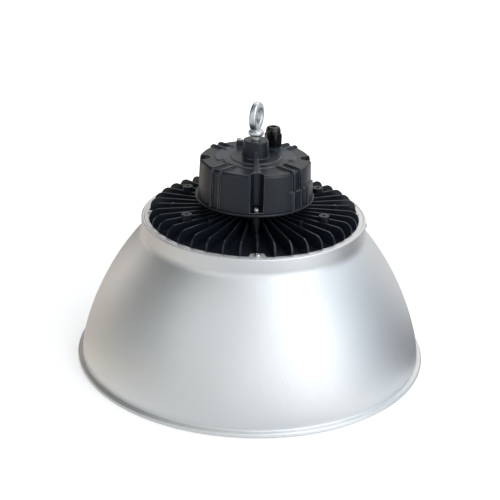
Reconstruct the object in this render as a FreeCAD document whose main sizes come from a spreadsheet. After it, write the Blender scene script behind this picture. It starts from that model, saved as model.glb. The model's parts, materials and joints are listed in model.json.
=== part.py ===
"""High bay light: a die-cast LED light with a spun reflector, hung from an eye bolt.

The frame is +Z up. The origin lies on the axis, in the plane of the reflector's rim, which is
the underside. The front is towards -Y. All lengths are in millimetres and all angles in degrees.

Each size that can be set by itself stands once in SIZES, which becomes the spreadsheet. Every
sketch and feature is bound to the sheet with expressions. An expression is written with the
plain names of the sizes, and the function `bound` adds the sheet's name.
"""

import FreeCAD, Part
import math
import os
import re
from collections import namedtuple

import Sketcher

# ---------------------------------------------------------------------------------------------
# Sizes
# ---------------------------------------------------------------------------------------------

SIZES = {
    "Clearances": {
        "fit_gap": 0.3,  # between a piece and the recess or neck that it drops into
        "thread_gap": 0.1,  # between a screw's shank and its tapped hole
        "hole_gap": 0.3,  # between a screw's shank and a plain hole
        "hole_floor": 0.5,  # left under a blind hole, or left free under a screw's tip
        "cut_margin": 1.0,  # how far a cut runs past the surface that it leaves
    },
    "Reflector": {
        "rim_radius": 225.0,
        "rim_height": 6.0,
        "rim_width": 6.5,  # from the foot of the dome to the outside of the rolled rim
        "rim_round": 2.4,
        "rim_groove": 2.0,  # radius of the hollow above the rim
        "reflector_wall": 1.5,
        "foot_pull": 25.0,  # how far the dome runs straight at its foot
        "shoulder_pull": 73.4,  # how far the dome runs straight at its shoulder
        "shoulder_slope": 48.4,  # below the horizontal
        "neck_radius": 141.5,
        "neck_height": 14.4,  # from the foot of the neck to the seat of the flange
        "neck_fillet": 14.0,
        "flange_width": 8.8,
        "flange_round": 1.2,
        "tab_length": 10.2,
        "tab_width": 19.0,
        "tab_root": 2.5,  # radius at the foot of a tab
        "tab_tip": 2.0,  # radius of a tab's corners
        "tab_count": 4,
        "tab_screw_inset": 3.2,  # from the flange's inner edge to the screws
        "side_screw_angle": -5.0,
        "side_screw_drop": 6.0,  # below the seat of the flange
    },
    "Heatsink": {
        "seat_height": 188.1,  # top of the heatsink's base above the rim
        "base_thickness": 5.0,
        "lip_width": 31.7,
        "lip_depth": 7.0,
        "hub_radius": 16.0,
        "hub_bore": 7.0,
        "fin_count": 40,
        "fin_thickness": 2.5,  # at the root
        "fin_draft": 1.0,
        "fin_height": 15.6,
        "fin_inner_radius": 34.0,
        "fin_shoulder": 12.0,
        "fin_relief": 2.5,  # between a shortened fin and its tab
        "pillar_height": 26.9,
        "pillar_radius": 4.6,
        "boss_radius": 6.5,
        "boss_height": 20.9,
        "boss_spacing_x": 168.0,
        "boss_spacing_y": 97.0,
        "boss_hole_radius": 2.1,
        "boss_hole_depth": 14.0,
        "ring_boss_radius": 4.6,
        "ring_boss_height": 3.0,
        "pad_circle": 78.0,
        "pad_radius": 3.2,
        "pad_rise": 0.5,
        "pad_hole_radius": 1.3,
        "pad_hole_depth": 5.0,
        "pad_count": 4,
        "small_pad_circle": 102.0,
        "small_pad_radius": 2.3,
    },
    "LED module": {
        "thermal_pad_thickness": 0.5,
        "led_board_gap": 2.0,  # between the board's edge and the lip
        "led_board_thickness": 2.0,
        "led_board_bore": 4.0,
        "led_size": 5.6,
        "led_height": 0.8,
        "led_first_circle": 24.0,
        "led_circle_step": 19.0,
        "led_first_count": 8,
        "led_count_step": 6,
        "led_screw_inset": 8.0,
        "led_screw_count": 6,
        "connector_size": 16.0,
        "connector_height": 4.0,
    },
    "Lens": {
        "gasket_inset": 1.0,  # from the lip's inner edge
        "gasket_thickness": 1.0,
        "lens_thickness": 3.5,
        "lens_margin": 4.0,  # between the lens plate's edge and the ring's screws
        "ring_inset": 8.7,  # from the edge of the heatsink
        "ring_overlap": 6.0,  # how far the ring reaches under the lens plate
        "ring_thickness": 2.5,
        "ring_edge": 1.0,
        "ring_screw_inset": 8.0,
        "ring_screw_count": 8,
        "ring_screw_angle": 27.0,
    },
    "Driver base": {
        "cover_radius": 74.6,
        "cover_thickness": 3.4,
        "cover_round": 1.2,
        "seal_width": 1.6,
        "seal_depth": 1.2,
        "standoff_x": 42.0,
        "standoff_y": 33.0,
        "standoff_radius": 4.0,
        "standoff_height": 7.6,
    },
    "Driver housing": {
        "drum_radius": 71.0,
        "drum_draft": 2.4,
        "drum_height": 47.6,
        "drum_wall": 3.0,
        "drum_roof": 3.5,
        "drum_corner": 4.0,
        "channel_circle": 64.0,
        "channel_radius": 8.0,
        "channel_count": 4,
        "lug_thickness": 1.2,
        "rib_angle": 45.0,
        "rib_pitch": 13.0,  # between the two ribs of a pair
        "rib_width": 2.5,
        "rib_rise": 2.5,
        "rib_inner_radius": 40.0,
        "rib_run_in": 4.0,
        "side_pad_height": 23.6,
        "side_pad_start": -54.8,
        "side_pad_end": -9.5,
        "side_pad_split": -30.0,
        "side_pad_gap": 2.6,  # angle of the slot across the pad
        "disc_radius": 31.0,
        "disc_rise": 1.2,  # above the step round it
        "step_radius": 42.0,
        "plateau_radius": 50.0,
        "plateau_sweep": 10.0,  # angle by which each end of the plateau passes the side-to-side line
        "plateau_rise": 1.2,  # of the plateau and of the step
        "neck_boss_base_radius": 16.9,
        "neck_boss_top_radius": 15.7,
        "neck_boss_height": 23.4,
        "neck_boss_round": 1.5,
        "nut_boss_radius": 14.0,
        "nut_boss_depth": 4.5,
        "gusset_height": 12.0,
        "gusset_top_width": 1.6,
        "gusset_root_width": 5.0,  # at the foot of the boss
        "gusset_foot_width": 9.0,
        "gusset_foot_height": 0.8,
        "gusset_gap": 0.5,  # between a gusset's foot and its channel
    },
    "Eye bolt": {
        "bolt_radius": 5.0,
        "bolt_point": 1.0,
        "shank_radius": 5.6,
        "shank_height": 5.4,
        "collar_radius": 9.8,
        "collar_height": 7.0,
        "collar_edge": 3.2,
        "collar_round": 2.8,
        "foot_radius": 4.0,
        "foot_fillet": 2.5,
        "eye_height": 29.6,  # centre of the ring above the boss
        "eye_radius": 18.3,
        "eye_depth": 8.0,  # across the ring's section, towards its centre
        "eye_width": 9.0,  # across the ring's section, along its axis
        "eye_round": 2.8,
        "eye_turn": -21.6,
        "bolt_end": 3.0,  # thread past the nut
        "nut_across": 17.0,
        "nut_height": 8.0,
        "washer_radius": 10.0,
        "washer_thickness": 1.6,
    },
    "Cable gland": {
        "gland_circle": 47.0,
        "gland_angle": 60.0,
        "gland_thread_radius": 7.9,
        "gland_bore": 5.2,
        "gland_collar_across": 18.6,
        "gland_collar_height": 4.7,
        "gland_gasket_thickness": 1.0,
        "gland_gasket_margin": 0.6,
        "gland_spigot_radius": 7.6,
        "gland_spigot_height": 10.5,
        "gland_turn": 46.4,
        "cap_across": 20.0,
        "cap_hex_height": 13.0,
        "cap_chamfer": 0.8,
        "cap_dome_radius": 9.5,
        "cap_dome_pull": 4.5,  # how straight the dome rises before it turns in
        "cap_dome_height": 7.5,
        "cap_top_radius": 5.0,
        "cap_top_pull": 3.2,  # how flat the dome ends at its top
        "cap_mouth_radius": 4.0,
        "cap_lip": 2.0,
        "seal_land": 0.8,  # of the seal on the rim of the body's bore
        "cable_bore": 3.5,
        "locknut_across": 20.0,
        "locknut_height": 5.0,
        "gland_tail": 2.0,  # thread past the lock nut
        "gland_seat_margin": 2.0,  # flat seat round the gland's collar
    },
    "Earth screw": {
        "earth_circle": 44.0,
        "earth_angle": 115.0,
        "earth_post_radius": 4.2,
        "earth_post_height": 7.6,
    },
    "Screws": {
        "screw_radius": 2.0,
        "screw_head_radius": 3.75,
        "screw_head_height": 2.6,
        "screw_head_round": 1.4,
        "screw_length": 9.0,
        "small_screw_radius": 1.5,
        "small_head_radius": 2.8,
        "small_head_height": 1.8,
        "small_head_round": 1.0,
        "small_screw_length": 6.0,
        "lock_washer_radius": 3.6,
        "lock_washer_thickness": 1.4,
    },
    "Driver": {
        "board_length": 96.0,
        "board_width": 78.0,
        "board_thickness": 1.6,
        "transformer_x": -26.0,
        "transformer_y": 6.0,
        "core_length": 30.0,
        "core_width": 12.0,
        "core_height": 20.0,
        "core_leg": 6.0,
        "winding_width": 22.0,
        "winding_rise": 1.0,
        "capacitor_radius": 8.0,
        "capacitor_height": 22.0,
        "capacitor_x": 25.0,
        "capacitor_spacing": 18.0,
        "capacitor_y": -24.0,
        "choke_x": -24.0,
        "choke_y": -26.0,
        "choke_radius": 11.0,
        "choke_section": 3.6,
        "film_x": 14.0,
        "film_y": 25.0,
        "film_length": 18.0,
        "film_width": 9.0,
        "film_height": 14.0,
        "terminal_x": 38.0,
        "terminal_y": 16.0,
        "terminal_length": 12.0,
        "terminal_width": 20.0,
        "terminal_height": 13.0,
        "lead_radius": 3.0,
        "grommet_radius": 6.0,
        "grommet_flange": 1.6,
        "grommet_lip": 2.0,
    },
}

# Heights and radii that several pieces share, worked out from the sizes.
CHAMBER_TOP = "(seat_height - base_thickness)"
LIP_BOTTOM = "(seat_height - base_thickness - lip_depth)"
FIN_TOP = "(seat_height + fin_height)"
FLANGE_INNER = "(neck_radius - flange_width)"
TAB_REACH = f"({FLANGE_INNER} - tab_length)"
TAB_SCREW_CIRCLE = f"({FLANGE_INNER} - tab_screw_inset)"
FIN_OUTER = f"({FLANGE_INNER} - fit_gap)"
BASE_RADIUS = "(neck_radius - reflector_wall - fit_gap)"
CHAMBER_RADIUS = f"({BASE_RADIUS} - lip_width)"
LED_BOARD_RADIUS = f"({CHAMBER_RADIUS} - led_board_gap)"
LED_SCREW_CIRCLE = f"({LED_BOARD_RADIUS} - led_screw_inset)"
RING_OUTER = f"({BASE_RADIUS} - ring_inset)"
RING_SCREW_CIRCLE = f"({RING_OUTER} - ring_screw_inset)"
LENS_RADIUS = f"({RING_SCREW_CIRCLE} - screw_radius - lens_margin)"
NECK_FOOT = "(seat_height - neck_height)"
PAD_BOTTOM = f"({CHAMBER_TOP} - thermal_pad_thickness)"
LED_BOARD_BOTTOM = f"({PAD_BOTTOM} - led_board_thickness)"
LENS_TOP = f"({LIP_BOTTOM} - gasket_thickness)"
LENS_BOTTOM = f"({LENS_TOP} - lens_thickness)"
RING_BOTTOM = f"({LENS_BOTTOM} - ring_thickness)"
COVER_BOTTOM = "(seat_height + pillar_height)"
COVER_TOP = f"({COVER_BOTTOM} + cover_thickness)"
LUG_TOP = f"({COVER_TOP} + lug_thickness)"
WASHER_TOP = f"({LUG_TOP} + lock_washer_thickness)"
BOARD_BOTTOM = f"({COVER_TOP} + standoff_height)"
BOARD_TOP = f"({BOARD_BOTTOM} + board_thickness)"
DRUM_TOP = f"({COVER_TOP} + drum_height)"
DRUM_TOP_RADIUS = "(drum_radius - (drum_height - drum_corner) * tan(drum_draft))"
ROOF_BOTTOM = f"({DRUM_TOP} - drum_roof)"
PLATEAU_TOP = f"({DRUM_TOP} + plateau_rise)"
NECK_BOSS_TOP = f"({DRUM_TOP} + neck_boss_height)"
NUT_SEAT = f"({ROOF_BOTTOM} - nut_boss_depth)"
WALL_MIDDLE = "(drum_radius - drum_wall / 2)"
SEAL_RADIUS = "(gland_bore + seal_land)"

LED_CIRCLES = 4


# ---------------------------------------------------------------------------------------------
# Document, sheet and expressions
# ---------------------------------------------------------------------------------------------

DOCUMENT = FreeCAD.newDocument("HighBayLight")
SHEET = DOCUMENT.addObject("Spreadsheet::Sheet", "Sizes")
ALIASES = {name for group in SIZES.values() for name in group}


def fill_sheet():
    """Write every size into the sheet, under a heading for each group."""
    row = 1
    for group, sizes in SIZES.items():
        SHEET.set(f"A{row}", group)
        row += 1
        for name, size in sizes.items():
            SHEET.set(f"A{row}", name)
            SHEET.set(f"B{row}", str(size))
            SHEET.setAlias(f"B{row}", name)
            row += 1
    DOCUMENT.recompute()


def bound(expression):
    """Return an expression with the sheet's name put before each size."""
    return re.sub(r"[a-z]\w*", lambda word: qualified(word.group(0)), expression)


def qualified(word):
    """Return a size's full name, or the word itself where it is a function."""
    return f"Sizes.{word}" if word in ALIASES else word


def bind(target, path, expression):
    """Bind one property of an object to an expression over the sizes."""
    target.setExpression(path, bound(expression))


def value(expression):
    """Return the present number behind an expression."""
    return float(SHEET.evalExpression(expression))


# ---------------------------------------------------------------------------------------------
# Sketches
# ---------------------------------------------------------------------------------------------

Line = namedtuple("Line", "x y")
Bend = namedtuple("Bend", "x y radius side")  # a round stretch that turns to the "left" or "right"
Curve = namedtuple("Curve", "x y first_pole second_pole")  # a smooth stretch with two poles


def new_body(label):
    """Add the body of one sub-part."""
    body = DOCUMENT.addObject("PartDesign::Body", label)
    body.Label = label
    return body


def origin_feature(body, role):
    """Return one of a body's own origin planes or axes."""
    return next(feature for feature in body.Origin.OriginFeatures if feature.Role == role)


def sketch_on(body, name, role="XY_Plane", lift="0", turn="0"):
    """Add a sketch on an origin plane, lifted along its normal.

    An upright plane is first turned about the vertical axis, and the lift follows the turn.
    """
    sketch = body.newObject("Sketcher::SketchObject", f"{body.Label}_{name}")
    sketch.AttachmentSupport = [(origin_feature(body, role), "")]
    sketch.MapMode = "FlatFace"
    if turn == "0":
        bind(sketch, "AttachmentOffset.Base.z", lift)
        return sketch
    sketch.AttachmentOffset = FreeCAD.Placement(
        FreeCAD.Vector(), FreeCAD.Rotation(FreeCAD.Vector(0, 1, 0), value(turn))
    )
    bind(sketch, "AttachmentOffset.Rotation.Angle", turn)
    bind(sketch, "AttachmentOffset.Base.x", f"({lift}) * sin({turn})")
    bind(sketch, "AttachmentOffset.Base.z", f"({lift}) * cos({turn})")
    return sketch


def measure(sketch, kind, references, expression):
    """Add one constraint with a value and bind it."""
    constraint = Sketcher.Constraint(kind, *references, value(expression))
    bind(sketch, f"Constraints[{sketch.addConstraint(constraint)}]", expression)


def place_point(sketch, geometry, position, x, y):
    """Hold one point of a sketch at two bound coordinates."""
    measure(sketch, "DistanceX", (geometry, position), x)
    measure(sketch, "DistanceY", (geometry, position), y)


def bend_curve(start, end, radius, side):
    """Return the minor arc from start to end, which turns to the given side."""
    chord = end - start
    rise = math.sqrt(max(radius**2 - (chord.Length / 2) ** 2, 0.0))
    left = FreeCAD.Vector(-chord.y, chord.x, 0).normalize()
    centre = (start + end) * 0.5 + left * (rise if side == "left" else -rise)
    first, last = (start, end) if side == "left" else (end, start)
    angles = [math.atan2(point.y - centre.y, point.x - centre.x) for point in (first, last)]
    return Part.ArcOfCircle(Part.Circle(centre, FreeCAD.Vector(0, 0, 1), radius), *angles)


def draw_line(sketch, start, end, step):
    """Draw a straight step and return its index and its two ends."""
    return sketch.addGeometry(Part.LineSegment(start, end), False), 1, 2


def draw_bend(sketch, start, end, step):
    """Draw a round step with a bound radius."""
    index = sketch.addGeometry(bend_curve(start, end, value(step.radius), step.side), False)
    measure(sketch, "Radius", (index,), step.radius)
    return (index, 1, 2) if step.side == "left" else (index, 2, 1)


def draw_curve(sketch, start, end, step):
    """Draw a smooth step whose two inner poles are bound."""
    poles = [vector(*step.first_pole), vector(*step.second_pole)]
    spline = Part.BSplineCurve([start, *poles, end], None, None, False, 3, None, False)
    index = sketch.addGeometry(spline, False)
    sketch.exposeInternalGeometry(index)
    place_point(sketch, index + 2, 3, *step.first_pole)
    place_point(sketch, index + 3, 3, *step.second_pole)
    return index, 1, 2


def vector(x, y):
    """Return a point of a sketch from two expressions."""
    return FreeCAD.Vector(value(x), value(y), 0)


DRAWERS = {Line: draw_line, Bend: draw_bend, Curve: draw_curve}


def draw_outline(sketch, *steps):
    """Draw a closed outline. It starts and ends at the last step's point."""
    start = vector(steps[-1].x, steps[-1].y)
    ends = []
    for step in steps:
        end = vector(step.x, step.y)
        ends.append(DRAWERS[type(step)](sketch, start, end, step))
        start = end
    for step, (index, _, finish) in zip(steps, ends):
        place_point(sketch, index, finish, step.x, step.y)
    for (before, _, finish), (after, begin, _) in zip(ends, ends[1:] + ends[:1]):
        sketch.addConstraint(Sketcher.Constraint("Coincident", before, finish, after, begin))
    return sketch


def draw_rectangle(sketch, left, right, bottom, top):
    """Draw a rectangle from four bound edges."""
    corners = (Line(right, bottom), Line(right, top), Line(left, top), Line(left, bottom))
    return draw_outline(sketch, *corners)


def draw_circle(sketch, x, y, radius):
    """Draw a circle with a bound centre and radius."""
    circle = Part.Circle(vector(x, y), FreeCAD.Vector(0, 0, 1), value(radius))
    index = sketch.addGeometry(circle, False)
    place_point(sketch, index, 3, x, y)
    measure(sketch, "Radius", (index,), radius)
    return sketch


def draw_hexagon(sketch, across):
    """Draw a hexagon about the origin from its size across the flats."""
    half = f"{across} / 2"
    corner = f"{across} / 2 / cos(30)"
    corners = (
        Line(corner, "0"),
        Line(f"{corner} / 2", half),
        Line(f"-{corner} / 2", half),
        Line(f"-{corner}", "0"),
        Line(f"-{corner} / 2", f"-{half}"),
        Line(f"{corner} / 2", f"-{half}"),
    )
    return draw_outline(sketch, *corners)


# ---------------------------------------------------------------------------------------------
# Features
# ---------------------------------------------------------------------------------------------


def add_feature(body, kind, name, profile):
    """Add a sketch-based feature to a body."""
    feature = body.newObject(f"PartDesign::{kind}", f"{body.Label}_{name}")
    feature.Profile = profile
    profile.Visibility = False
    return feature


def revolve(body, name, sketch, angle="360", axis="V_Axis", kind="Revolution"):
    """Turn a sketch about one of its axes."""
    feature = add_feature(body, kind, name, sketch)
    feature.ReferenceAxis = (sketch, [axis])
    bind(feature, "Angle", angle)
    return feature


def pad(body, name, sketch, length, draft="0"):
    """Raise a sketch along its normal. A draft narrows it on the way."""
    feature = add_feature(body, "Pad", name, sketch)
    bind(feature, "Length", length)
    bind(feature, "TaperAngle", f"-({draft})")
    return feature


def pocket(body, name, sketch, depth, upward=False):
    """Cut a sketch into the body, downwards unless told otherwise."""
    feature = add_feature(body, "Pocket", name, sketch)
    bind(feature, "Length", depth)
    feature.Reversed = upward
    return feature


def around(body, name, feature, count):
    """Repeat a feature at even angles about the vertical axis."""
    pattern = body.newObject("PartDesign::PolarPattern", f"{body.Label}_{name}")
    pattern.Originals = [feature]
    pattern.Axis = (origin_feature(body, "Z_Axis"), [""])
    pattern.Angle = 360
    bind(pattern, "Occurrences", count)
    body.Tip = pattern
    return pattern


def turned_body(label, *steps):
    """Add a body that is one outline turned about the vertical axis."""
    body = new_body(label)
    outline = draw_outline(sketch_on(body, "outline", "XZ_Plane"), *steps)
    revolve(body, "turned", outline)
    return body


def ring_body(label, inner, outer, bottom, top):
    """Add a plain ring, or a disc where the inner radius is 0."""
    return turned_body(
        label, Line(outer, bottom), Line(outer, top), Line(inner, top), Line(inner, bottom)
    )


def block_body(label, x, y, length, width, bottom, height):
    """Add an upright block about the centre x, y."""
    body = new_body(label)
    sketch = sketch_on(body, "outline", lift=bottom)
    edges = (f"{x} - {length} / 2", f"{x} + {length} / 2", f"{y} - {width} / 2", f"{y} + {width} / 2")
    pad(body, "block", draw_rectangle(sketch, *edges), height)
    return body


def drill(body, name, x, y, radius, mouth, depth, count="1", upward=False):
    """Cut a round hole and repeat it about the vertical axis."""
    hole = draw_circle(sketch_on(body, f"{name}_sketch", lift=mouth), x, y, radius)
    cut = pocket(body, name, hole, depth, upward)
    if count != "1":
        around(body, f"{name}_pattern", cut, count)


def boss(body, name, x, y, radius, foot, height, count="1"):
    """Raise a round boss and repeat it about the vertical axis."""
    disc = draw_circle(sketch_on(body, f"{name}_sketch", lift=foot), x, y, radius)
    raised = pad(body, name, disc, height)
    if count != "1":
        around(body, f"{name}_pattern", raised, count)


def polar(circle, angle):
    """Return the x and y expressions of a place given by radius and angle."""
    return f"{circle} * cos({angle})", f"{circle} * sin({angle})"


def stand_at(body, x, y, z, turn="0"):
    """Stand a body that was drawn about its own axis at its place, turned about that axis."""
    body.Placement = FreeCAD.Placement(FreeCAD.Vector(), FreeCAD.Rotation(value(turn), 0, 0))
    bind(body, "Placement.Rotation.Yaw", turn)
    bind(body, "Placement.Base.x", x)
    bind(body, "Placement.Base.y", y)
    bind(body, "Placement.Base.z", z)


# ---------------------------------------------------------------------------------------------
# Screws
# ---------------------------------------------------------------------------------------------

ScrewKind = namedtuple("ScrewKind", "shank head height round length")
SCREW = ScrewKind(
    "screw_radius", "screw_head_radius", "screw_head_height", "screw_head_round", "screw_length"
)
SMALL_SCREW = ScrewKind(
    "small_screw_radius",
    "small_head_radius",
    "small_head_height",
    "small_head_round",
    "small_screw_length",
)


def screw_steps(kind, seat, side, x="0", extra="0"):
    """Return half the outline of a pan-head screw that stands at x.

    The head lies on the seat, above it where side is 1 and below it where side is -1. The
    shank is as long as the kind says, plus what the screw passes through first.
    """
    sign = "+" if side == 1 else "-"
    back = "-" if side == 1 else "+"
    head_edge = f"{seat} {sign} ({kind.height} - {kind.round})"
    head_top = f"{seat} {sign} {kind.height}"
    tip = f"{seat} {back} ({kind.length} + {extra})"
    bend_side = "left" if side == 1 else "right"
    return (
        Line(f"{x} + {kind.shank}", tip),
        Line(f"{x} + {kind.shank}", seat),
        Line(f"{x} + {kind.head}", seat),
        Line(f"{x} + {kind.head}", head_edge),
        Bend(f"{x} + {kind.head} - {kind.round}", head_top, kind.round, bend_side),
        Line(x, head_top),
        Line(x, tip),
    )


def screw_ring(label, kind, circle, angle, count, seat, side, extra="0"):
    """Add equal screws at even angles about the axis, as separate solids of one body."""
    body = new_body(label)
    sketch = sketch_on(body, "outline", "XZ_Plane", turn=angle)
    draw_outline(sketch, *screw_steps(kind, seat, side, circle, extra))
    axis = Part.LineSegment(vector(circle, "0"), vector(circle, "10"))
    index = sketch.addGeometry(axis, True)
    place_point(sketch, index, 1, circle, "0")
    place_point(sketch, index, 2, circle, "10")
    around(body, "pattern", revolve(body, "screw", sketch, axis="Axis0"), count)
    return body


# ---------------------------------------------------------------------------------------------
# Reflector
# ---------------------------------------------------------------------------------------------


def reflector_steps():
    """Return the section of the spun sheet, from the flange down the outside and back up."""
    foot_radius = "(rim_radius - rim_width)"
    foot_height = "(rim_height + rim_groove)"
    flange_top = "(seat_height + reflector_wall)"
    shoulder = (
        "(neck_radius + neck_fillet * (1 - sin(shoulder_slope)))",
        f"({NECK_FOOT} - neck_fillet * cos(shoulder_slope))",
    )
    pull = ("shoulder_pull * cos(shoulder_slope)", "shoulder_pull * sin(shoulder_slope)")
    inset = ("reflector_wall * sin(shoulder_slope)", "reflector_wall * cos(shoulder_slope)")
    inner_foot = f"({foot_radius} - reflector_wall)"
    inner_neck = "(neck_radius - reflector_wall)"
    return (
        Line("neck_radius - flange_round", flange_top),
        Bend("neck_radius", f"{flange_top} - flange_round", "flange_round", "right"),
        Line("neck_radius", NECK_FOOT),
        Bend(*shoulder, "neck_fillet", "left"),
        Curve(
            foot_radius,
            foot_height,
            (f"{shoulder[0]} + {pull[0]}", f"{shoulder[1]} - {pull[1]}"),
            (foot_radius, f"{foot_height} + foot_pull"),
        ),
        Bend(f"{foot_radius} + rim_groove", "rim_height", "rim_groove", "left"),
        Line("rim_radius - rim_round", "rim_height"),
        Bend("rim_radius", "rim_height - rim_round", "rim_round", "right"),
        Line("rim_radius", "rim_round"),
        Bend("rim_radius - rim_round", "0", "rim_round", "right"),
        Line(inner_foot, "0"),
        Line(inner_foot, foot_height),
        Curve(
            f"{shoulder[0]} - {inset[0]}",
            f"{shoulder[1]} - {inset[1]}",
            (inner_foot, f"{foot_height} + foot_pull"),
            (
                f"{shoulder[0]} + {pull[0]} - {inset[0]}",
                f"{shoulder[1]} - {pull[1]} - {inset[1]}",
            ),
        ),
        Bend(inner_neck, NECK_FOOT, "neck_fillet + reflector_wall", "right"),
        Line(inner_neck, "seat_height"),
        Line(FLANGE_INNER, "seat_height"),
        Line(FLANGE_INNER, flange_top),
    )


def tab_steps():
    """Return the plan of one tab, from the flange's inner edge towards the axis."""
    flange_edge = f"({FLANGE_INNER} + reflector_wall)"
    root = f"(sqrt({FLANGE_INNER} ^ 2 - (tab_width / 2 + tab_root) ^ 2))"
    half = "tab_width / 2"
    return (
        Line(flange_edge, f"{half} + tab_root"),
        Line(root, f"{half} + tab_root"),
        Bend(f"{root} - tab_root", half, "tab_root", "right"),
        Line(f"{TAB_REACH} + tab_tip", half),
        Bend(TAB_REACH, f"{half} - tab_tip", "tab_tip", "left"),
        Line(TAB_REACH, f"-({half} - tab_tip)"),
        Bend(f"{TAB_REACH} + tab_tip", f"-{half}", "tab_tip", "left"),
        Line(f"{root} - tab_root", f"-{half}"),
        Bend(root, f"-({half} + tab_root)", "tab_root", "right"),
        Line(flange_edge, f"-({half} + tab_root)"),
    )


def make_reflector():
    """Spin the reflector, then add its four screw tabs and its holes."""
    body = turned_body("reflector", *reflector_steps())
    tab = draw_outline(sketch_on(body, "tab_sketch", lift="seat_height"), *tab_steps())
    around(body, "tabs", pad(body, "tab", tab, "reflector_wall"), "tab_count")
    drill(
        body,
        "tab_hole",
        TAB_SCREW_CIRCLE,
        "0",
        "screw_radius + hole_gap",
        "seat_height + reflector_wall",
        "reflector_wall",
        "tab_count",
    )
    side_hole = sketch_on(
        body, "side_hole_sketch", "YZ_Plane", lift="neck_radius + cut_margin", turn="side_screw_angle"
    )
    draw_circle(side_hole, "0", "seat_height - side_screw_drop", "small_screw_radius + hole_gap")
    pocket(body, "side_hole", side_hole, "reflector_wall + 2 * cut_margin")


def make_reflector_screws():
    """Hold the reflector with a screw in each tab and one through the side of the neck."""
    screw_ring(
        "reflector_screws",
        SCREW,
        TAB_SCREW_CIRCLE,
        "0",
        "tab_count",
        "(seat_height + reflector_wall)",
        1,
    )
    side = turned_body("reflector_side_screw", *screw_steps(SMALL_SCREW, "0", 1))
    side.Placement = FreeCAD.Placement(
        FreeCAD.Vector(), FreeCAD.Rotation(value("side_screw_angle"), 90, 0)
    )
    bind(side, "Placement.Base.x", "neck_radius * cos(side_screw_angle)")
    bind(side, "Placement.Base.y", "neck_radius * sin(side_screw_angle)")
    bind(side, "Placement.Base.z", "seat_height - side_screw_drop")


# ---------------------------------------------------------------------------------------------
# Heatsink
# ---------------------------------------------------------------------------------------------


def heatsink_steps():
    """Return the section of the heatsink's base, lip and hub."""
    return (
        Line(CHAMBER_RADIUS, CHAMBER_TOP),
        Line(CHAMBER_RADIUS, LIP_BOTTOM),
        Line(BASE_RADIUS, LIP_BOTTOM),
        Line(BASE_RADIUS, "seat_height"),
        Line("hub_radius", "seat_height"),
        Line("hub_radius", COVER_BOTTOM),
        Line("hub_bore", COVER_BOTTOM),
        Line("hub_bore", CHAMBER_TOP),
    )


def add_fins(body):
    """Raise the radial fins, round their shoulders and shorten those behind the tabs."""
    half = "fin_thickness / 2"
    fin_plan = sketch_on(body, "fin_sketch", lift="seat_height")
    draw_rectangle(fin_plan, "fin_inner_radius", FIN_OUTER, f"-{half}", half)
    around(body, "fins", pad(body, "fin", fin_plan, "fin_height", "fin_draft"), "fin_count")
    shoulder = draw_outline(
        sketch_on(body, "shoulder_sketch", "XZ_Plane"),
        Bend(FIN_OUTER, f"{FIN_TOP} - fin_shoulder", "fin_shoulder", "right"),
        Line(f"{FIN_OUTER} + cut_margin", f"{FIN_TOP} - fin_shoulder"),
        Line(f"{FIN_OUTER} + cut_margin", f"{FIN_TOP} + cut_margin"),
        Line(f"{FIN_OUTER} - fin_shoulder", f"{FIN_TOP} + cut_margin"),
        Line(f"{FIN_OUTER} - fin_shoulder", FIN_TOP),
    )
    revolve(body, "shoulders", shoulder, kind="Groove")
    relief = sketch_on(body, "relief_sketch", lift="seat_height")
    start, end = f"{TAB_REACH} - fin_relief", f"{FIN_OUTER} + cut_margin"
    draw_rectangle(relief, start, end, "-fin_thickness", "fin_thickness")
    cut = pocket(body, "relief", relief, "fin_height + cut_margin", True)
    around(body, "reliefs", cut, "tab_count")


def add_mount_bosses(body):
    """Raise the four tapped bosses that a bracket fastens to."""
    boss_plan = sketch_on(body, "boss_sketch", lift="seat_height")
    hole_plan = sketch_on(body, "boss_hole_sketch", lift="seat_height + boss_height")
    for x in ("boss_spacing_x / 2", "-boss_spacing_x / 2"):
        for y in ("boss_spacing_y / 2", "-boss_spacing_y / 2"):
            draw_circle(boss_plan, x, y, "boss_radius")
            draw_circle(hole_plan, x, y, "boss_hole_radius")
    pad(body, "boss", boss_plan, "boss_height")
    pocket(body, "boss_hole", hole_plan, "boss_hole_depth")


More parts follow.
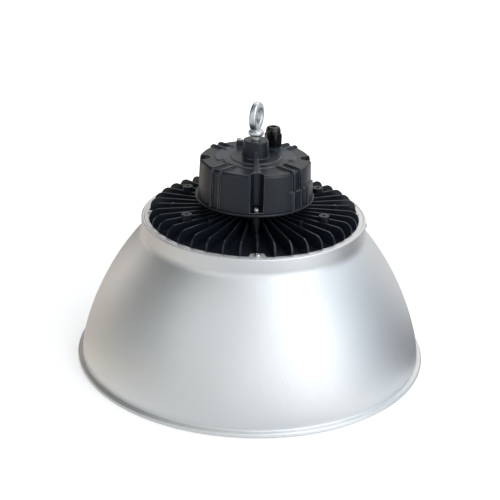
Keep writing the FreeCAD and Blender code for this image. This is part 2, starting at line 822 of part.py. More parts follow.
def make_heatsink():
    """Cast the heatsink: base, fins, hub, pillars and bosses in one piece."""
    body = turned_body("heatsink", *heatsink_steps())
    add_fins(body)
    add_mount_bosses(body)
    boss(
        body,
        "pillar",
        "channel_circle",
        "0",
        "pillar_radius",
        "seat_height",
        "pillar_height",
        "channel_count",
    )
    boss(
        body,
        "ring_boss",
        *polar(RING_SCREW_CIRCLE, "ring_screw_angle"),
        "ring_boss_radius",
        "seat_height",
        "ring_boss_height",
        "ring_screw_count",
    )
    pad_place = polar("pad_circle", "180 / pad_count")
    pad_height = "(fin_height + pad_rise)"
    boss(body, "pad", *pad_place, "pad_radius", "seat_height", pad_height, "pad_count")
    pad_top = f"seat_height + {pad_height}"
    drill(body, "pad_hole", *pad_place, "pad_hole_radius", pad_top, "pad_hole_depth", "pad_count")
    boss(
        body,
        "small_pad",
        "small_pad_circle",
        "0",
        "small_pad_radius",
        "seat_height",
        "fin_height + pad_rise / 2",
        "pad_count",
    )
    tapped = "screw_radius + thread_gap"
    drill(body, "tab_hole", TAB_SCREW_CIRCLE, "0", tapped, "seat_height", "screw_length", "tab_count")
    drill(body, "pillar_hole", "channel_circle", "0", tapped, COVER_BOTTOM, "screw_length", "channel_count")
    drill(
        body,
        "ring_hole",
        *polar(RING_SCREW_CIRCLE, "ring_screw_angle"),
        tapped,
        LIP_BOTTOM,
        "screw_length + cut_margin",
        "ring_screw_count",
        True,
    )
    drill(
        body,
        "board_hole",
        LED_SCREW_CIRCLE,
        "0",
        "small_screw_radius + thread_gap",
        CHAMBER_TOP,
        "base_thickness - hole_floor",
        "led_screw_count",
        True,
    )
    side_hole = sketch_on(body, "side_hole_sketch", "YZ_Plane", lift=BASE_RADIUS, turn="side_screw_angle")
    draw_circle(side_hole, "0", "seat_height - side_screw_drop", "small_screw_radius + thread_gap")
    pocket(body, "side_hole", side_hole, "small_screw_length")


# ---------------------------------------------------------------------------------------------
# LED module and lens
# ---------------------------------------------------------------------------------------------


def make_led_module():
    """Stack the thermal pad, the round board and its LEDs in the heatsink's chamber."""
    sheets = (
        ("thermal_pad", PAD_BOTTOM, CHAMBER_TOP, "thermal_pad_thickness"),
        ("led_board", LED_BOARD_BOTTOM, PAD_BOTTOM, "led_board_thickness"),
    )
    for label, bottom, top, thickness in sheets:
        sheet = ring_body(label, "led_board_bore", LED_BOARD_RADIUS, bottom, top)
        radius = "small_screw_radius + hole_gap"
        drill(sheet, "hole", LED_SCREW_CIRCLE, "0", radius, top, thickness, "led_screw_count")
    screw_ring(
        "led_board_screws",
        SMALL_SCREW,
        LED_SCREW_CIRCLE,
        "0",
        "led_screw_count",
        LED_BOARD_BOTTOM,
        -1,
    )
    leds = new_body("led_packages")
    for circle in range(LED_CIRCLES):
        add_led_circle(leds, circle)
    block_body(
        "led_connector",
        "0",
        "0",
        "connector_size",
        "connector_size",
        f"{LED_BOARD_BOTTOM} - connector_height",
        "connector_height",
    )


def add_led_circle(body, circle):
    """Set one circle of LED packages under the board."""
    radius = f"(led_first_circle + {circle} * led_circle_step)"
    sketch = sketch_on(body, f"circle_{circle}_sketch", lift=f"{LED_BOARD_BOTTOM} - led_height")
    half = "led_size / 2"
    draw_rectangle(sketch, f"{radius} - {half}", f"{radius} + {half}", f"-{half}", half)
    package = pad(body, f"circle_{circle}", sketch, "led_height")
    around(body, f"circle_{circle}_pattern", package, f"led_first_count + {circle} * led_count_step")


def make_lens():
    """Clamp the lens plate and its gasket under the lip with a screwed ring."""
    ring_body("lens_gasket", f"{CHAMBER_RADIUS} + gasket_inset", LENS_RADIUS, LENS_TOP, LIP_BOTTOM)
    ring_body("lens_plate", "0", LENS_RADIUS, LENS_BOTTOM, LENS_TOP)
    ring = turned_body(
        "lens_ring",
        Line(f"{RING_OUTER} - ring_edge", RING_BOTTOM),
        Line(RING_OUTER, f"{RING_BOTTOM} + ring_edge"),
        Line(RING_OUTER, LIP_BOTTOM),
        Line(f"{LENS_RADIUS} + fit_gap", LIP_BOTTOM),
        Line(f"{LENS_RADIUS} + fit_gap", LENS_BOTTOM),
        Line(f"{LENS_RADIUS} - ring_overlap", LENS_BOTTOM),
        Line(f"{LENS_RADIUS} - ring_overlap", RING_BOTTOM),
    )
    depth = "ring_thickness + lens_thickness + gasket_thickness"
    drill(
        ring,
        "hole",
        *polar(RING_SCREW_CIRCLE, "ring_screw_angle"),
        "screw_radius + hole_gap",
        LIP_BOTTOM,
        depth,
        "ring_screw_count",
    )
    screw_ring(
        "lens_ring_screws",
        SCREW,
        RING_SCREW_CIRCLE,
        "ring_screw_angle",
        "ring_screw_count",
        RING_BOTTOM,
        -1,
        depth,
    )


# ---------------------------------------------------------------------------------------------
# Driver housing
# ---------------------------------------------------------------------------------------------


def make_driver_cover():
    """Cast the plate that closes the housing from below and stands on the pillars."""
    seal_inner = f"{WALL_MIDDLE} - seal_width / 2"
    seal_outer = f"{WALL_MIDDLE} + seal_width / 2"
    body = turned_body(
        "driver_base_cover",
        Line("cover_radius - cover_round", COVER_BOTTOM),
        Bend("cover_radius", f"{COVER_BOTTOM} + cover_round", "cover_round", "left"),
        Line("cover_radius", f"{COVER_TOP} - cover_round"),
        Bend("cover_radius - cover_round", COVER_TOP, "cover_round", "left"),
        Line(seal_outer, COVER_TOP),
        Line(seal_outer, f"{COVER_TOP} - seal_depth"),
        Line(seal_inner, f"{COVER_TOP} - seal_depth"),
        Line(seal_inner, COVER_TOP),
        Line("grommet_radius", COVER_TOP),
        Line("grommet_radius", COVER_BOTTOM),
    )
    standoffs = sketch_on(body, "standoff_sketch", lift=COVER_TOP)
    holes = sketch_on(body, "standoff_hole_sketch", lift=BOARD_BOTTOM)
    for x in ("standoff_x", "-standoff_x"):
        for y in ("standoff_y", "-standoff_y"):
            draw_circle(standoffs, x, y, "standoff_radius")
            draw_circle(holes, x, y, "small_screw_radius + thread_gap")
    pad(body, "standoff", standoffs, "standoff_height")
    pocket(body, "standoff_hole", holes, "small_screw_length")
    drill(
        body,
        "hole",
        "channel_circle",
        "0",
        "screw_radius + hole_gap",
        COVER_TOP,
        "cover_thickness",
        "channel_count",
    )
    ring_body("housing_seal", seal_inner, seal_outer, f"{COVER_TOP} - seal_depth", COVER_TOP)


def drum_steps():
    """Return the section of the drum with its roof, centre boss and bolt bore."""
    bore = "bolt_radius + fit_gap"
    return (
        Line("drum_radius", COVER_TOP),
        Line(DRUM_TOP_RADIUS, f"{DRUM_TOP} - drum_corner"),
        Bend(f"{DRUM_TOP_RADIUS} - drum_corner", DRUM_TOP, "drum_corner", "left"),
        Line("step_radius", DRUM_TOP),
        Line("step_radius", PLATEAU_TOP),
        Line("disc_radius", PLATEAU_TOP),
        Line("disc_radius", f"{PLATEAU_TOP} + disc_rise"),
        Line("neck_boss_base_radius", f"{PLATEAU_TOP} + disc_rise"),
        Line("neck_boss_top_radius", f"{NECK_BOSS_TOP} - neck_boss_round"),
        Bend("neck_boss_top_radius - neck_boss_round", NECK_BOSS_TOP, "neck_boss_round", "left"),
        Line(bore, NECK_BOSS_TOP),
        Line(bore, NUT_SEAT),
        Line("nut_boss_radius", NUT_SEAT),
        Line("nut_boss_radius", ROOF_BOTTOM),
        Line(f"{DRUM_TOP_RADIUS} - drum_wall", ROOF_BOTTOM),
        Line("drum_radius - drum_wall", COVER_TOP),
    )


def channel_steps(radius, reach):
    """Return the plan of a U that opens outwards, about the channel's circle."""
    return (
        Bend(f"channel_circle - ({radius})", "0", radius, "left"),
        Bend("channel_circle", f"-({radius})", radius, "left"),
        Line(reach, f"-({radius})"),
        Line(reach, radius),
        Line("channel_circle", radius),
    )


def add_channels(body):
    """Wall in the four screw channels from inside, then cut them down to their lugs."""
    wall_plan = sketch_on(body, "channel_wall_sketch", lift=COVER_TOP)
    reach = f"{DRUM_TOP_RADIUS} - drum_wall / 2"
    draw_outline(wall_plan, *channel_steps("channel_radius + drum_wall", reach))
    wall = pad(body, "channel_wall", wall_plan, "drum_height - drum_roof / 2")
    around(body, "channel_walls", wall, "channel_count")
    cut_plan = sketch_on(body, "channel_sketch", lift=LUG_TOP)
    draw_outline(cut_plan, *channel_steps("channel_radius", "drum_radius + drum_wall"))
    cut = pocket(body, "channel", cut_plan, "drum_height", True)
    around(body, "channels", cut, "channel_count")


def rib_steps():
    """Return the side view of a rib that runs over the roof's edge and down the wall."""
    inside = f"{ROOF_BOTTOM} + drum_roof / 2"
    rib_top = f"{DRUM_TOP} + rib_rise"
    return (
        Line("rib_inner_radius", inside),
        Line(f"{DRUM_TOP_RADIUS} - drum_wall / 2", inside),
        Line(WALL_MIDDLE, COVER_TOP),
        Line("drum_radius + rib_rise", COVER_TOP),
        Line(f"{DRUM_TOP_RADIUS} + rib_rise", f"{DRUM_TOP} - drum_corner"),
        Bend(f"{DRUM_TOP_RADIUS} - drum_corner", rib_top, "drum_corner + rib_rise", "left"),
        Line("rib_inner_radius + rib_run_in", rib_top),
        Line("rib_inner_radius", DRUM_TOP),
    )


def add_ribs(body):
    """Raise the four pairs of ribs."""
    for name, offset in (("near_rib", "rib_pitch / 2"), ("far_rib", "-rib_pitch / 2")):
        lift = f"({offset} - rib_width / 2)"
        plan = sketch_on(body, f"{name}_sketch", "XZ_Plane", lift=lift, turn="rib_angle")
        draw_outline(plan, *rib_steps())
        around(body, f"{name}s", pad(body, name, plan, "rib_width"), "channel_count")


def add_side_pad(body):
    """Raise the pad at the foot of the wall, in two lengths with a slot between them."""
    pad_top = f"{COVER_TOP} + side_pad_height"
    top_radius = "(drum_radius - side_pad_height * tan(drum_draft))"
    half_gap = "side_pad_gap / 2"
    stretches = (
        ("left_pad", "side_pad_start", f"side_pad_split - {half_gap} - side_pad_start"),
        ("right_pad", f"side_pad_split + {half_gap}", f"side_pad_end - side_pad_split - {half_gap}"),
    )
    for name, start, angle in stretches:
        section = draw_outline(
            sketch_on(body, f"{name}_sketch", "XZ_Plane", turn=start),
            Line("drum_radius + rib_rise", COVER_TOP),
            Line(f"{top_radius} + rib_rise", pad_top),
            Line(f"{top_radius} - drum_wall / 2", pad_top),
            Line(WALL_MIDDLE, COVER_TOP),
        )
        revolve(body, name, section, angle)


def add_plateau(body):
    """Raise the half ring behind the centre boss, level with the step, and round its two ends."""
    sweep = "(180 + 2 * plateau_sweep)"
    section = sketch_on(body, "plateau_sketch", "XZ_Plane", turn="-plateau_sweep")
    foot = f"{ROOF_BOTTOM} + drum_roof / 2"
    draw_rectangle(section, "step_radius - drum_wall", "plateau_radius", foot, PLATEAU_TOP)
    revolve(body, "plateau", section, sweep)
    middle = "(step_radius + plateau_radius) / 2"
    end_radius = "(plateau_radius - step_radius) / 2"
    for name, angle in (("right_end", "-plateau_sweep"), ("left_end", "(180 + plateau_sweep)")):
        boss(body, f"plateau_{name}", *polar(middle, angle), end_radius, DRUM_TOP, "plateau_rise")


def add_gussets(body):
    """Raise the two gussets that run from the centre boss to the front and back channels."""
    foot = f"({DRUM_TOP} - drum_roof / 2)"
    near_place = "neck_boss_top_radius - neck_boss_round"
    near = sketch_on(body, "gusset_near_sketch", "XZ_Plane", lift=near_place)
    ridge = f"{DRUM_TOP} + gusset_height"
    draw_outline(
        near,
        Line("-gusset_root_width / 2", foot),
        Line("gusset_root_width / 2", foot),
        Line("gusset_top_width / 2", ridge),
        Line("-gusset_top_width / 2", ridge),
    )
    far_place = "channel_circle - channel_radius - gusset_gap"
    far = sketch_on(body, "gusset_far_sketch", "XZ_Plane", lift=far_place)
    half = "gusset_foot_width / 2"
    far_top = f"{DRUM_TOP} + gusset_foot_height"
    draw_outline(
        far, Line(f"-{half}", foot), Line(half, foot), Line(half, far_top), Line(f"-{half}", far_top)
    )
    gusset = add_feature(body, "AdditiveLoft", "gusset", near)
    gusset.Sections = [far]
    gusset.Ruled = True
    around(body, "gussets", gusset, "2")


def add_gland_seat(body):
    """Raise a flat seat for the gland to the plateau's height, and clear the ribs from it."""
    place = polar("gland_circle", "gland_angle")
    radius = "gland_collar_across / 2 + gland_seat_margin"
    boss(body, "gland_seat", *place, radius, DRUM_TOP, "plateau_rise")
    drill(body, "gland_spot_face", *place, radius, f"{PLATEAU_TOP} + rib_rise", "rib_rise")


def make_driver_housing():
    """Cast the housing: drum, roof, centre boss, channels, ribs, pads and posts in one piece."""
    body = turned_body("driver_housing", *drum_steps())
    add_channels(body)
    add_ribs(body)
    add_side_pad(body)
    add_plateau(body)
    add_gussets(body)
    add_gland_seat(body)
    earth = polar("earth_circle", "earth_angle")
    boss(body, "earth_post", *earth, "earth_post_radius", PLATEAU_TOP, "earth_post_height")
    tapped = "screw_radius + thread_gap"
    depth = "screw_length + hole_floor"
    drill(body, "earth_hole", *earth, tapped, f"{PLATEAU_TOP} + earth_post_height", depth)
    gland = polar("gland_circle", "gland_angle")
    passage = "gland_thread_radius + hole_gap"
    drill(body, "gland_hole", *gland, passage, PLATEAU_TOP, "drum_roof + plateau_rise")
    drill(
        body,
        "lug_hole",
        "channel_circle",
        "0",
        "screw_radius + hole_gap",
        LUG_TOP,
        "lug_thickness",
        "channel_count",
    )


def make_housing_fasteners():
    """Screw the housing and its cover to the heatsink's pillars, and earth the roof."""
    screw_ring(
        "housing_screws",
        SCREW,
        "channel_circle",
        "0",
        "channel_count",
        WASHER_TOP,
        1,
        "lock_washer_thickness + lug_thickness",
    )
    washers = new_body("housing_washers")
    plan = sketch_on(washers, "plan", lift=LUG_TOP)
    draw_circle(plan, "channel_circle", "0", "lock_washer_radius")
    draw_circle(plan, "channel_circle", "0", "screw_radius + thread_gap")
    around(washers, "pattern", pad(washers, "washer", plan, "lock_washer_thickness"), "channel_count")
    earth = turned_body("earth_screw", *screw_steps(SCREW, "0", 1))
    stand_at(earth, *polar("earth_circle", "earth_angle"), f"{PLATEAU_TOP} + earth_post_height")


# ---------------------------------------------------------------------------------------------
# Eye bolt
# ---------------------------------------------------------------------------------------------


def eye_steps(centre):
    """Return the section of the eye's ring: flat faces with rounded corners."""
    side = "eye_width / 2"
    top = f"{centre} + eye_radius"
    bottom = f"{top} - eye_depth"
    return (
        Line(f"{side} - eye_round", bottom),
        Bend(side, f"{bottom} + eye_round", "eye_round", "left"),
        Line(side, f"{top} - eye_round"),
        Bend(f"{side} - eye_round", top, "eye_round", "left"),
        Line(f"-({side} - eye_round)", top),
        Bend(f"-{side}", f"{top} - eye_round", "eye_round", "left"),
        Line(f"-{side}", f"{bottom} + eye_round"),
        Bend(f"-({side} - eye_round)", bottom, "eye_round", "left"),
    )


def make_eye_bolt():
    """Forge the eye bolt, and hold it under the roof with a washer and a nut."""
    collar_bottom = f"({NECK_BOSS_TOP} + shank_height)"
    collar_top = f"({collar_bottom} + collar_height)"
    thread_end = f"({NUT_SEAT} - washer_thickness - nut_height - bolt_end)"
    body = turned_body(
        "eye_bolt",
        Line("bolt_radius - bolt_point", thread_end),
        Line("bolt_radius", f"{thread_end} + bolt_point"),
        Line("bolt_radius", NECK_BOSS_TOP),
        Line("shank_radius", NECK_BOSS_TOP),
        Line("shank_radius", collar_bottom),
        Line("collar_radius - collar_edge", collar_bottom),
        Bend("collar_radius", f"{collar_bottom} + collar_edge", "collar_edge", "left"),
        Line("collar_radius", f"{collar_top} - collar_round"),
        Bend("collar_radius - collar_round", collar_top, "collar_round", "left"),
        Line("foot_radius + foot_fillet", collar_top),
        Bend("foot_radius", f"{collar_top} + foot_fillet", "foot_fillet", "right"),
        Line("0", f"{collar_top} + foot_fillet"),
        Line("0", thread_end),
    )
    centre = f"({NECK_BOSS_TOP} + eye_height)"
    section = draw_outline(sketch_on(body, "eye_sketch", "XZ_Plane"), *eye_steps(centre))
    axis = section.addGeometry(Part.LineSegment(vector("0", centre), vector("eye_radius", centre)), True)
    place_point(section, axis, 1, "0", centre)
    place_point(section, axis, 2, "eye_radius", centre)
    revolve(body, "eye", section, axis="Axis0")
    body.Placement = FreeCAD.Placement(FreeCAD.Vector(), FreeCAD.Rotation(value("eye_turn"), 0, 0))
    bind(body, "Placement.Rotation.Yaw", "eye_turn")
    ring_body(
        "eye_bolt_washer",
        "bolt_radius + fit_gap",
        "washer_radius",
        f"{NUT_SEAT} - washer_thickness",
        NUT_SEAT,
    )
    make_nut(
        "eye_bolt_nut",
        "nut_across",
        "bolt_radius + thread_gap",
        f"{NUT_SEAT} - washer_thickness - nut_height",
        "nut_height",
    )


def make_nut(label, across, bore, bottom, height):
    """Add a hexagon nut on the vertical axis."""
    body = new_body(label)
    sketch = draw_hexagon(sketch_on(body, "plan", lift=bottom), across)
    draw_circle(sketch, "0", "0", bore)
    pad(body, "nut", sketch, height)
    return body


# ---------------------------------------------------------------------------------------------
# Cable gland, drawn about its own axis with the roof's plateau at height 0
# ---------------------------------------------------------------------------------------------


def make_gland():
    """Build the gland: body, cap, rubber seal, washer and the lock nut under the roof."""
    collar_top = "(gland_gasket_thickness + gland_collar_height)"
    roof = "(drum_roof + plateau_rise)"
    thread_end = f"({roof} + locknut_height + gland_tail)"
    body = new_body("gland_body")
    collar = sketch_on(body, "collar_sketch", lift="gland_gasket_thickness")
    pad(body, "collar", draw_hexagon(collar, "gland_collar_across"), "gland_collar_height")
    boss(body, "thread", "0", "0", "gland_thread_radius", f"-{thread_end}", f"{thread_end} + {collar_top}")
    boss(body, "spigot", "0", "0", "gland_spigot_radius", collar_top, "gland_spigot_height")
    spigot_top = f"{collar_top} + gland_spigot_height"
    drill(body, "bore", "0", "0", "gland_bore", spigot_top, f"{thread_end} + {spigot_top}")
    cap = make_gland_cap(collar_top)
    seal_bottom = f"{collar_top} + gland_spigot_height"
    seal_top = f"({collar_top} + cap_hex_height + cap_dome_height - cap_lip)"
    seal = ring_body("gland_seal", "cable_bore", SEAL_RADIUS, seal_bottom, seal_top)
    gasket = ring_body(
        "gland_gasket",
        "gland_thread_radius + thread_gap",
        "gland_collar_across / 2 + gland_gasket_margin",
        "0",
        "gland_gasket_thickness",
    )
    nut = make_nut(
        "gland_locknut",
        "locknut_across",
        "gland_thread_radius + thread_gap",
        f"-({roof} + locknut_height)",
        "locknut_height",
    )
    for piece in (body, cap, seal, gasket, nut):
        stand_at(piece, *polar("gland_circle", "gland_angle"), PLATEAU_TOP, "gland_turn")


def make_gland_cap(collar_top):
    """Add the cap: a hexagon below, a dome above and a mouth for the cable."""
    cap = new_body("gland_cap")
    hexagon = draw_hexagon(sketch_on(cap, "hexagon_sketch", lift=collar_top), "cap_across")
    pad(cap, "hexagon", hexagon, "cap_hex_height")
    dome_foot = f"({collar_top} + cap_hex_height)"
    dome_top = f"({dome_foot} + cap_dome_height)"
    add_cap_chamfer(cap, dome_foot)
    dome_root = f"{dome_foot} - cap_hex_height / 2"
    dome = draw_outline(
        sketch_on(cap, "dome_sketch", "XZ_Plane"),
        Line("cap_dome_radius", dome_root),
        Line("cap_dome_radius", dome_foot),
        Curve(
            "cap_top_radius",
            dome_top,
            ("cap_dome_radius", f"{dome_foot} + cap_dome_pull"),
            ("cap_top_radius + cap_top_pull", dome_top),
        ),
        Line("0", dome_top),
        Line("0", dome_root),
    )
    revolve(cap, "dome", dome)
    drill(
        cap,
        "spigot_bore",
        "0",
        "0",
        "gland_spigot_radius + thread_gap",
        collar_top,
        "gland_spigot_height",
        upward=True,
    )
    seal_room = "cap_hex_height + cap_dome_height - cap_lip"
    room_radius = f"{SEAL_RADIUS} + thread_gap"
    drill(cap, "seal_bore", "0", "0", room_radius, collar_top, seal_room, upward=True)
    drill(cap, "mouth", "0", "0", "cap_mouth_radius", dome_top, "cap_lip + cut_margin")
    return cap


def add_cap_chamfer(cap, dome_foot):
    """Bevel the corners at the top of the cap's hexagon."""
    corner = "(cap_across / sqrt(3))"
    section = draw_outline(
        sketch_on(cap, "chamfer_sketch", "XZ_Plane"),
        Line(f"{corner} + cut_margin", f"{dome_foot} - cap_chamfer - cut_margin"),
        Line(f"{corner} + cut_margin", f"{dome_foot} + cut_margin"),
        Line(f"{corner} - cap_chamfer - cut_margin", f"{dome_foot} + cut_margin"),
    )
    revolve(cap, "chamfer", section, kind="Groove")


# ---------------------------------------------------------------------------------------------
# Driver electronics
# ---------------------------------------------------------------------------------------------


def make_driver_board():
    """Fasten the circuit board to the cover's standoffs."""
    size = ("board_length", "board_width")
    board = block_body("driver_board", "0", "0", *size, BOARD_BOTTOM, "board_thickness")
    holes = sketch_on(board, "hole_sketch", lift=BOARD_TOP)
    screws = new_body("driver_board_screws")
    heads = sketch_on(screws, "head_sketch", lift=BOARD_TOP)
    shanks = sketch_on(screws, "shank_sketch", lift=f"{BOARD_TOP} - small_screw_length")
    for x in ("standoff_x", "-standoff_x"):
        for y in ("standoff_y", "-standoff_y"):
            draw_circle(holes, x, y, "small_screw_radius + hole_gap")
            draw_circle(heads, x, y, "small_head_radius")
            draw_circle(shanks, x, y, "small_screw_radius")
    pocket(board, "hole", holes, "board_thickness")
    pad(screws, "head", heads, "small_head_height")
    pad(screws, "shank", shanks, "small_screw_length")


def make_transformer():
    """Add the transformer: a closed core with the winding round its middle."""
    left = "(transformer_x - core_length / 2)"
    right = "(transformer_x + core_length / 2)"
    top = f"({BOARD_TOP} + core_height)"
    core = new_body("transformer_core")
    section = sketch_on(core, "outline", "XZ_Plane", lift="-(transformer_y + core_width / 2)")
    draw_rectangle(section, left, right, BOARD_TOP, top)
    window = (f"{left} + core_leg", f"{right} - core_leg", f"{BOARD_TOP} + core_leg", f"{top} - core_leg")
    draw_rectangle(section, *window)
    pad(core, "core", section, "core_width")
    winding = new_body("transformer_winding")
    coil = sketch_on(winding, "outline", "YZ_Plane", lift=f"{left} + core_leg + fit_gap")
    front = "(transformer_y - winding_width / 2)"
    back = "(transformer_y + winding_width / 2)"
    draw_rectangle(coil, front, back, BOARD_TOP, f"{top} + winding_rise")
    pad(winding, "coil", coil, "core_length - 2 * core_leg - 2 * fit_gap")
    front_gap = "transformer_y - core_width / 2 - fit_gap"
    back_gap = "transformer_y + core_width / 2 + fit_gap"
    room = sketch_on(winding, "room_sketch", "YZ_Plane", lift=left)
    draw_rectangle(room, front_gap, back_gap, f"{top} - core_leg - fit_gap", f"{top} + fit_gap")
    draw_rectangle(room, front_gap, back_gap, f"{BOARD_TOP} - 1", f"{BOARD_TOP} + core_leg + fit_gap")
    pocket(winding, "room", room, "core_length", True)


def make_driver_parts():
    """Set the larger components on the board, and run the lead down through the hub."""
    capacitors = new_body("smoothing_capacitors")
    cans = sketch_on(capacitors, "plan", lift=BOARD_TOP)
    for side in ("-", "+"):
        place = f"capacitor_x {side} capacitor_spacing / 2"
        draw_circle(cans, place, "capacitor_y", "capacitor_radius")
    pad(capacitors, "can", cans, "capacitor_height")
    choke = turned_body(
        "output_choke",
        Line("choke_radius", "0"),
        Line("choke_radius", "choke_section * 2"),
        Line("choke_radius - choke_section * 2", "choke_section * 2"),
        Line("choke_radius - choke_section * 2", "0"),
    )
    stand_at(choke, "choke_x", "choke_y", BOARD_TOP)
    block_body("film_capacitor", "film_x", "film_y", "film_length", "film_width", BOARD_TOP, "film_height")
    block_body(
        "input_terminal",
        "terminal_x",
        "terminal_y",
        "terminal_length",
        "terminal_width",
        BOARD_TOP,
        "terminal_height",
    )
    ring_body("output_lead", "0", "lead_radius", LED_BOARD_BOTTOM, BOARD_BOTTOM)
    turned_body(
        "lead_grommet",
        Line("grommet_radius - thread_gap", COVER_BOTTOM),
        Line("grommet_radius - thread_gap", COVER_TOP),
        Line("grommet_radius + grommet_lip", COVER_TOP),
        Line("grommet_radius + grommet_lip", f"{COVER_TOP} + grommet_flange"),
        Line("lead_radius + thread_gap", f"{COVER_TOP} + grommet_flange"),
        Line("lead_radius + thread_gap", COVER_BOTTOM),
    )


# ---------------------------------------------------------------------------------------------
# Build, check and export
# ---------------------------------------------------------------------------------------------


def check_document():
    """Stop if an object failed, or if a sub-part is empty or broken."""
    for item in DOCUMENT.Objects:
        if {"Invalid", "Error"} & set(item.State):
            raise RuntimeError(f"{item.Name} failed: {item.State}")
    for body in sub_parts():
        if body.Shape.isNull() or not body.Shape.isValid():
            raise RuntimeError(f"{body.Label} has no valid shape")


def sub_parts():
    """Return every sub-part of the document."""
    return [item for item in DOCUMENT.Objects if item.TypeId == "PartDesign::Body"]


def export_sub_parts():
    """Write each sub-part to a STEP file named after it."""
    os.makedirs("parts", exist_ok=True)
    for body in sub_parts():
        body.Shape.exportStep(f"parts/{body.Label}.step")
        print(f"{body.Label}: {len(body.Shape.Solids)} solids, {body.Shape.Volume / 1000:.2f} cm3")


def main():
    """Build the light, check it and write its parts."""
    fill_sheet()
    make_reflector()
    make_reflector_screws()
    make_heatsink()
    make_led_module()
    make_lens()
    make_driver_cover()
    make_driver_housing()
    make_housing_fasteners()
    make_eye_bolt()
    make_gland()
    make_driver_board()
    make_transformer()
    make_driver_parts()
    DOCUMENT.recompute()
    check_document()
    export_sub_parts()


main()
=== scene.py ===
"""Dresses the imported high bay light: finishes, rounded forms, studio, lamps and camera.

Everything is in metres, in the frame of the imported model: +Z runs up the light's axis, the
origin lies in the plane of the reflector's rim and the front is towards -Y. Places come from
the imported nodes. New pieces are surfaces that numpy works out on grids, and each finish is a
node material that reads Object coordinates.
"""

from __future__ import annotations

import json
import logging
import math
from dataclasses import dataclass
from enum import Enum
from typing import Sequence

import bmesh
import bpy
import numpy as np
from bpy.types import Material, Mesh, Node, NodeSocket as Socket, NodeTree, Object
from mathutils import Matrix, Vector

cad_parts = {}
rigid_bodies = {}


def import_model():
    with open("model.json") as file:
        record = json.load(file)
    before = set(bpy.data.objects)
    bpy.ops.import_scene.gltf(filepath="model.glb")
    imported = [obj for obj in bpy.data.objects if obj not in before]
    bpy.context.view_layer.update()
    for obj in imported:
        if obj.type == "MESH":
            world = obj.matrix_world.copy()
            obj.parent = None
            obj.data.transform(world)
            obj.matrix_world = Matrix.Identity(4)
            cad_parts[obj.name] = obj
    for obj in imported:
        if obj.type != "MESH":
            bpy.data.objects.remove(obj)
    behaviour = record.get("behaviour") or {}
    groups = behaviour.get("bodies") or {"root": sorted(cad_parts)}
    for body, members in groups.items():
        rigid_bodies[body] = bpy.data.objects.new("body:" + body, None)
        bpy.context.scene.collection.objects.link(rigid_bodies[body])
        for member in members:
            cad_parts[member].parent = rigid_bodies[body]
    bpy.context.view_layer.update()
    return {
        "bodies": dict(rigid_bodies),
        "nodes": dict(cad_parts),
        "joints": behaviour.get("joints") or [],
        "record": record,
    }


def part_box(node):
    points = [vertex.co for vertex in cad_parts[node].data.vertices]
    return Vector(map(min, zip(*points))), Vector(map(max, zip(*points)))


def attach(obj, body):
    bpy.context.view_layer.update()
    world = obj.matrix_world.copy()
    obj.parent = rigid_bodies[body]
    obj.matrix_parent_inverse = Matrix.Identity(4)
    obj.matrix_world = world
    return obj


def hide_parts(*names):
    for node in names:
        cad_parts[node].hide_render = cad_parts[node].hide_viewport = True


LOG = logging.getLogger("high_bay_light")
MM = 0.001
BODY = "root"
EDGE = "edge"  # the attribute that marks rounded faces, where finishes paint a highlight
WELD_GAP = 1e-6  # metres within which a copy's points are one
FLAT_ANGLE = 0.6  # degrees below which two faces of a copy are one
CORNER_ANGLE = 30.0  # degrees above which its edges are rounded
MERGE_GAP = 2e-7  # metres within which a new piece's points are one
AIM_HEIGHT = 0.150  # of the point that the camera and the lamps face
Colour = tuple[float, float, float]
Stop = tuple[float, Colour]


# Shapes


@dataclass
class Grid:
    """A surface as a grid of points, rows by columns by three coordinates.

    Attributes:
        points: The coordinates, an array of shape (rows, columns, 3).
        closed_rows: Whether the last row joins the first.
        closed_columns: Whether the last column joins the first.
    """

    points: np.ndarray
    closed_rows: bool = False
    closed_columns: bool = False

    def faces(self) -> np.ndarray:
        """Return the four corners of each cell, cell (i, j) joining rows i, i + 1 and columns j, j + 1."""
        rows, columns = self.points.shape[:2]
        index = np.arange(rows * columns).reshape(rows, columns)
        if self.closed_rows:
            index = np.vstack([index, index[:1]])
        if self.closed_columns:
            index = np.hstack([index, index[:, :1]])
        corners = (index[:-1, :-1], index[:-1, 1:], index[1:, 1:], index[1:, :-1])
        return np.stack(corners, axis=-1).reshape(-1, 4)


def arc(centre: Sequence[float], radius: float, start: float, end: float, count: int) -> np.ndarray:
    """Return points of a circle: centre + radius (cos a, sin a), with a from start to end in degrees.

    Args:
        centre: The circle's centre, two coordinates.
        radius: Its radius.
        start: The first angle.
        end: The last angle.
        count: How many points.

    Returns:
        An array of shape (count, 2).
    """
    angle = np.radians(np.linspace(start, end, count))
    return np.asarray(centre) + radius * np.column_stack([np.cos(angle), np.sin(angle)])


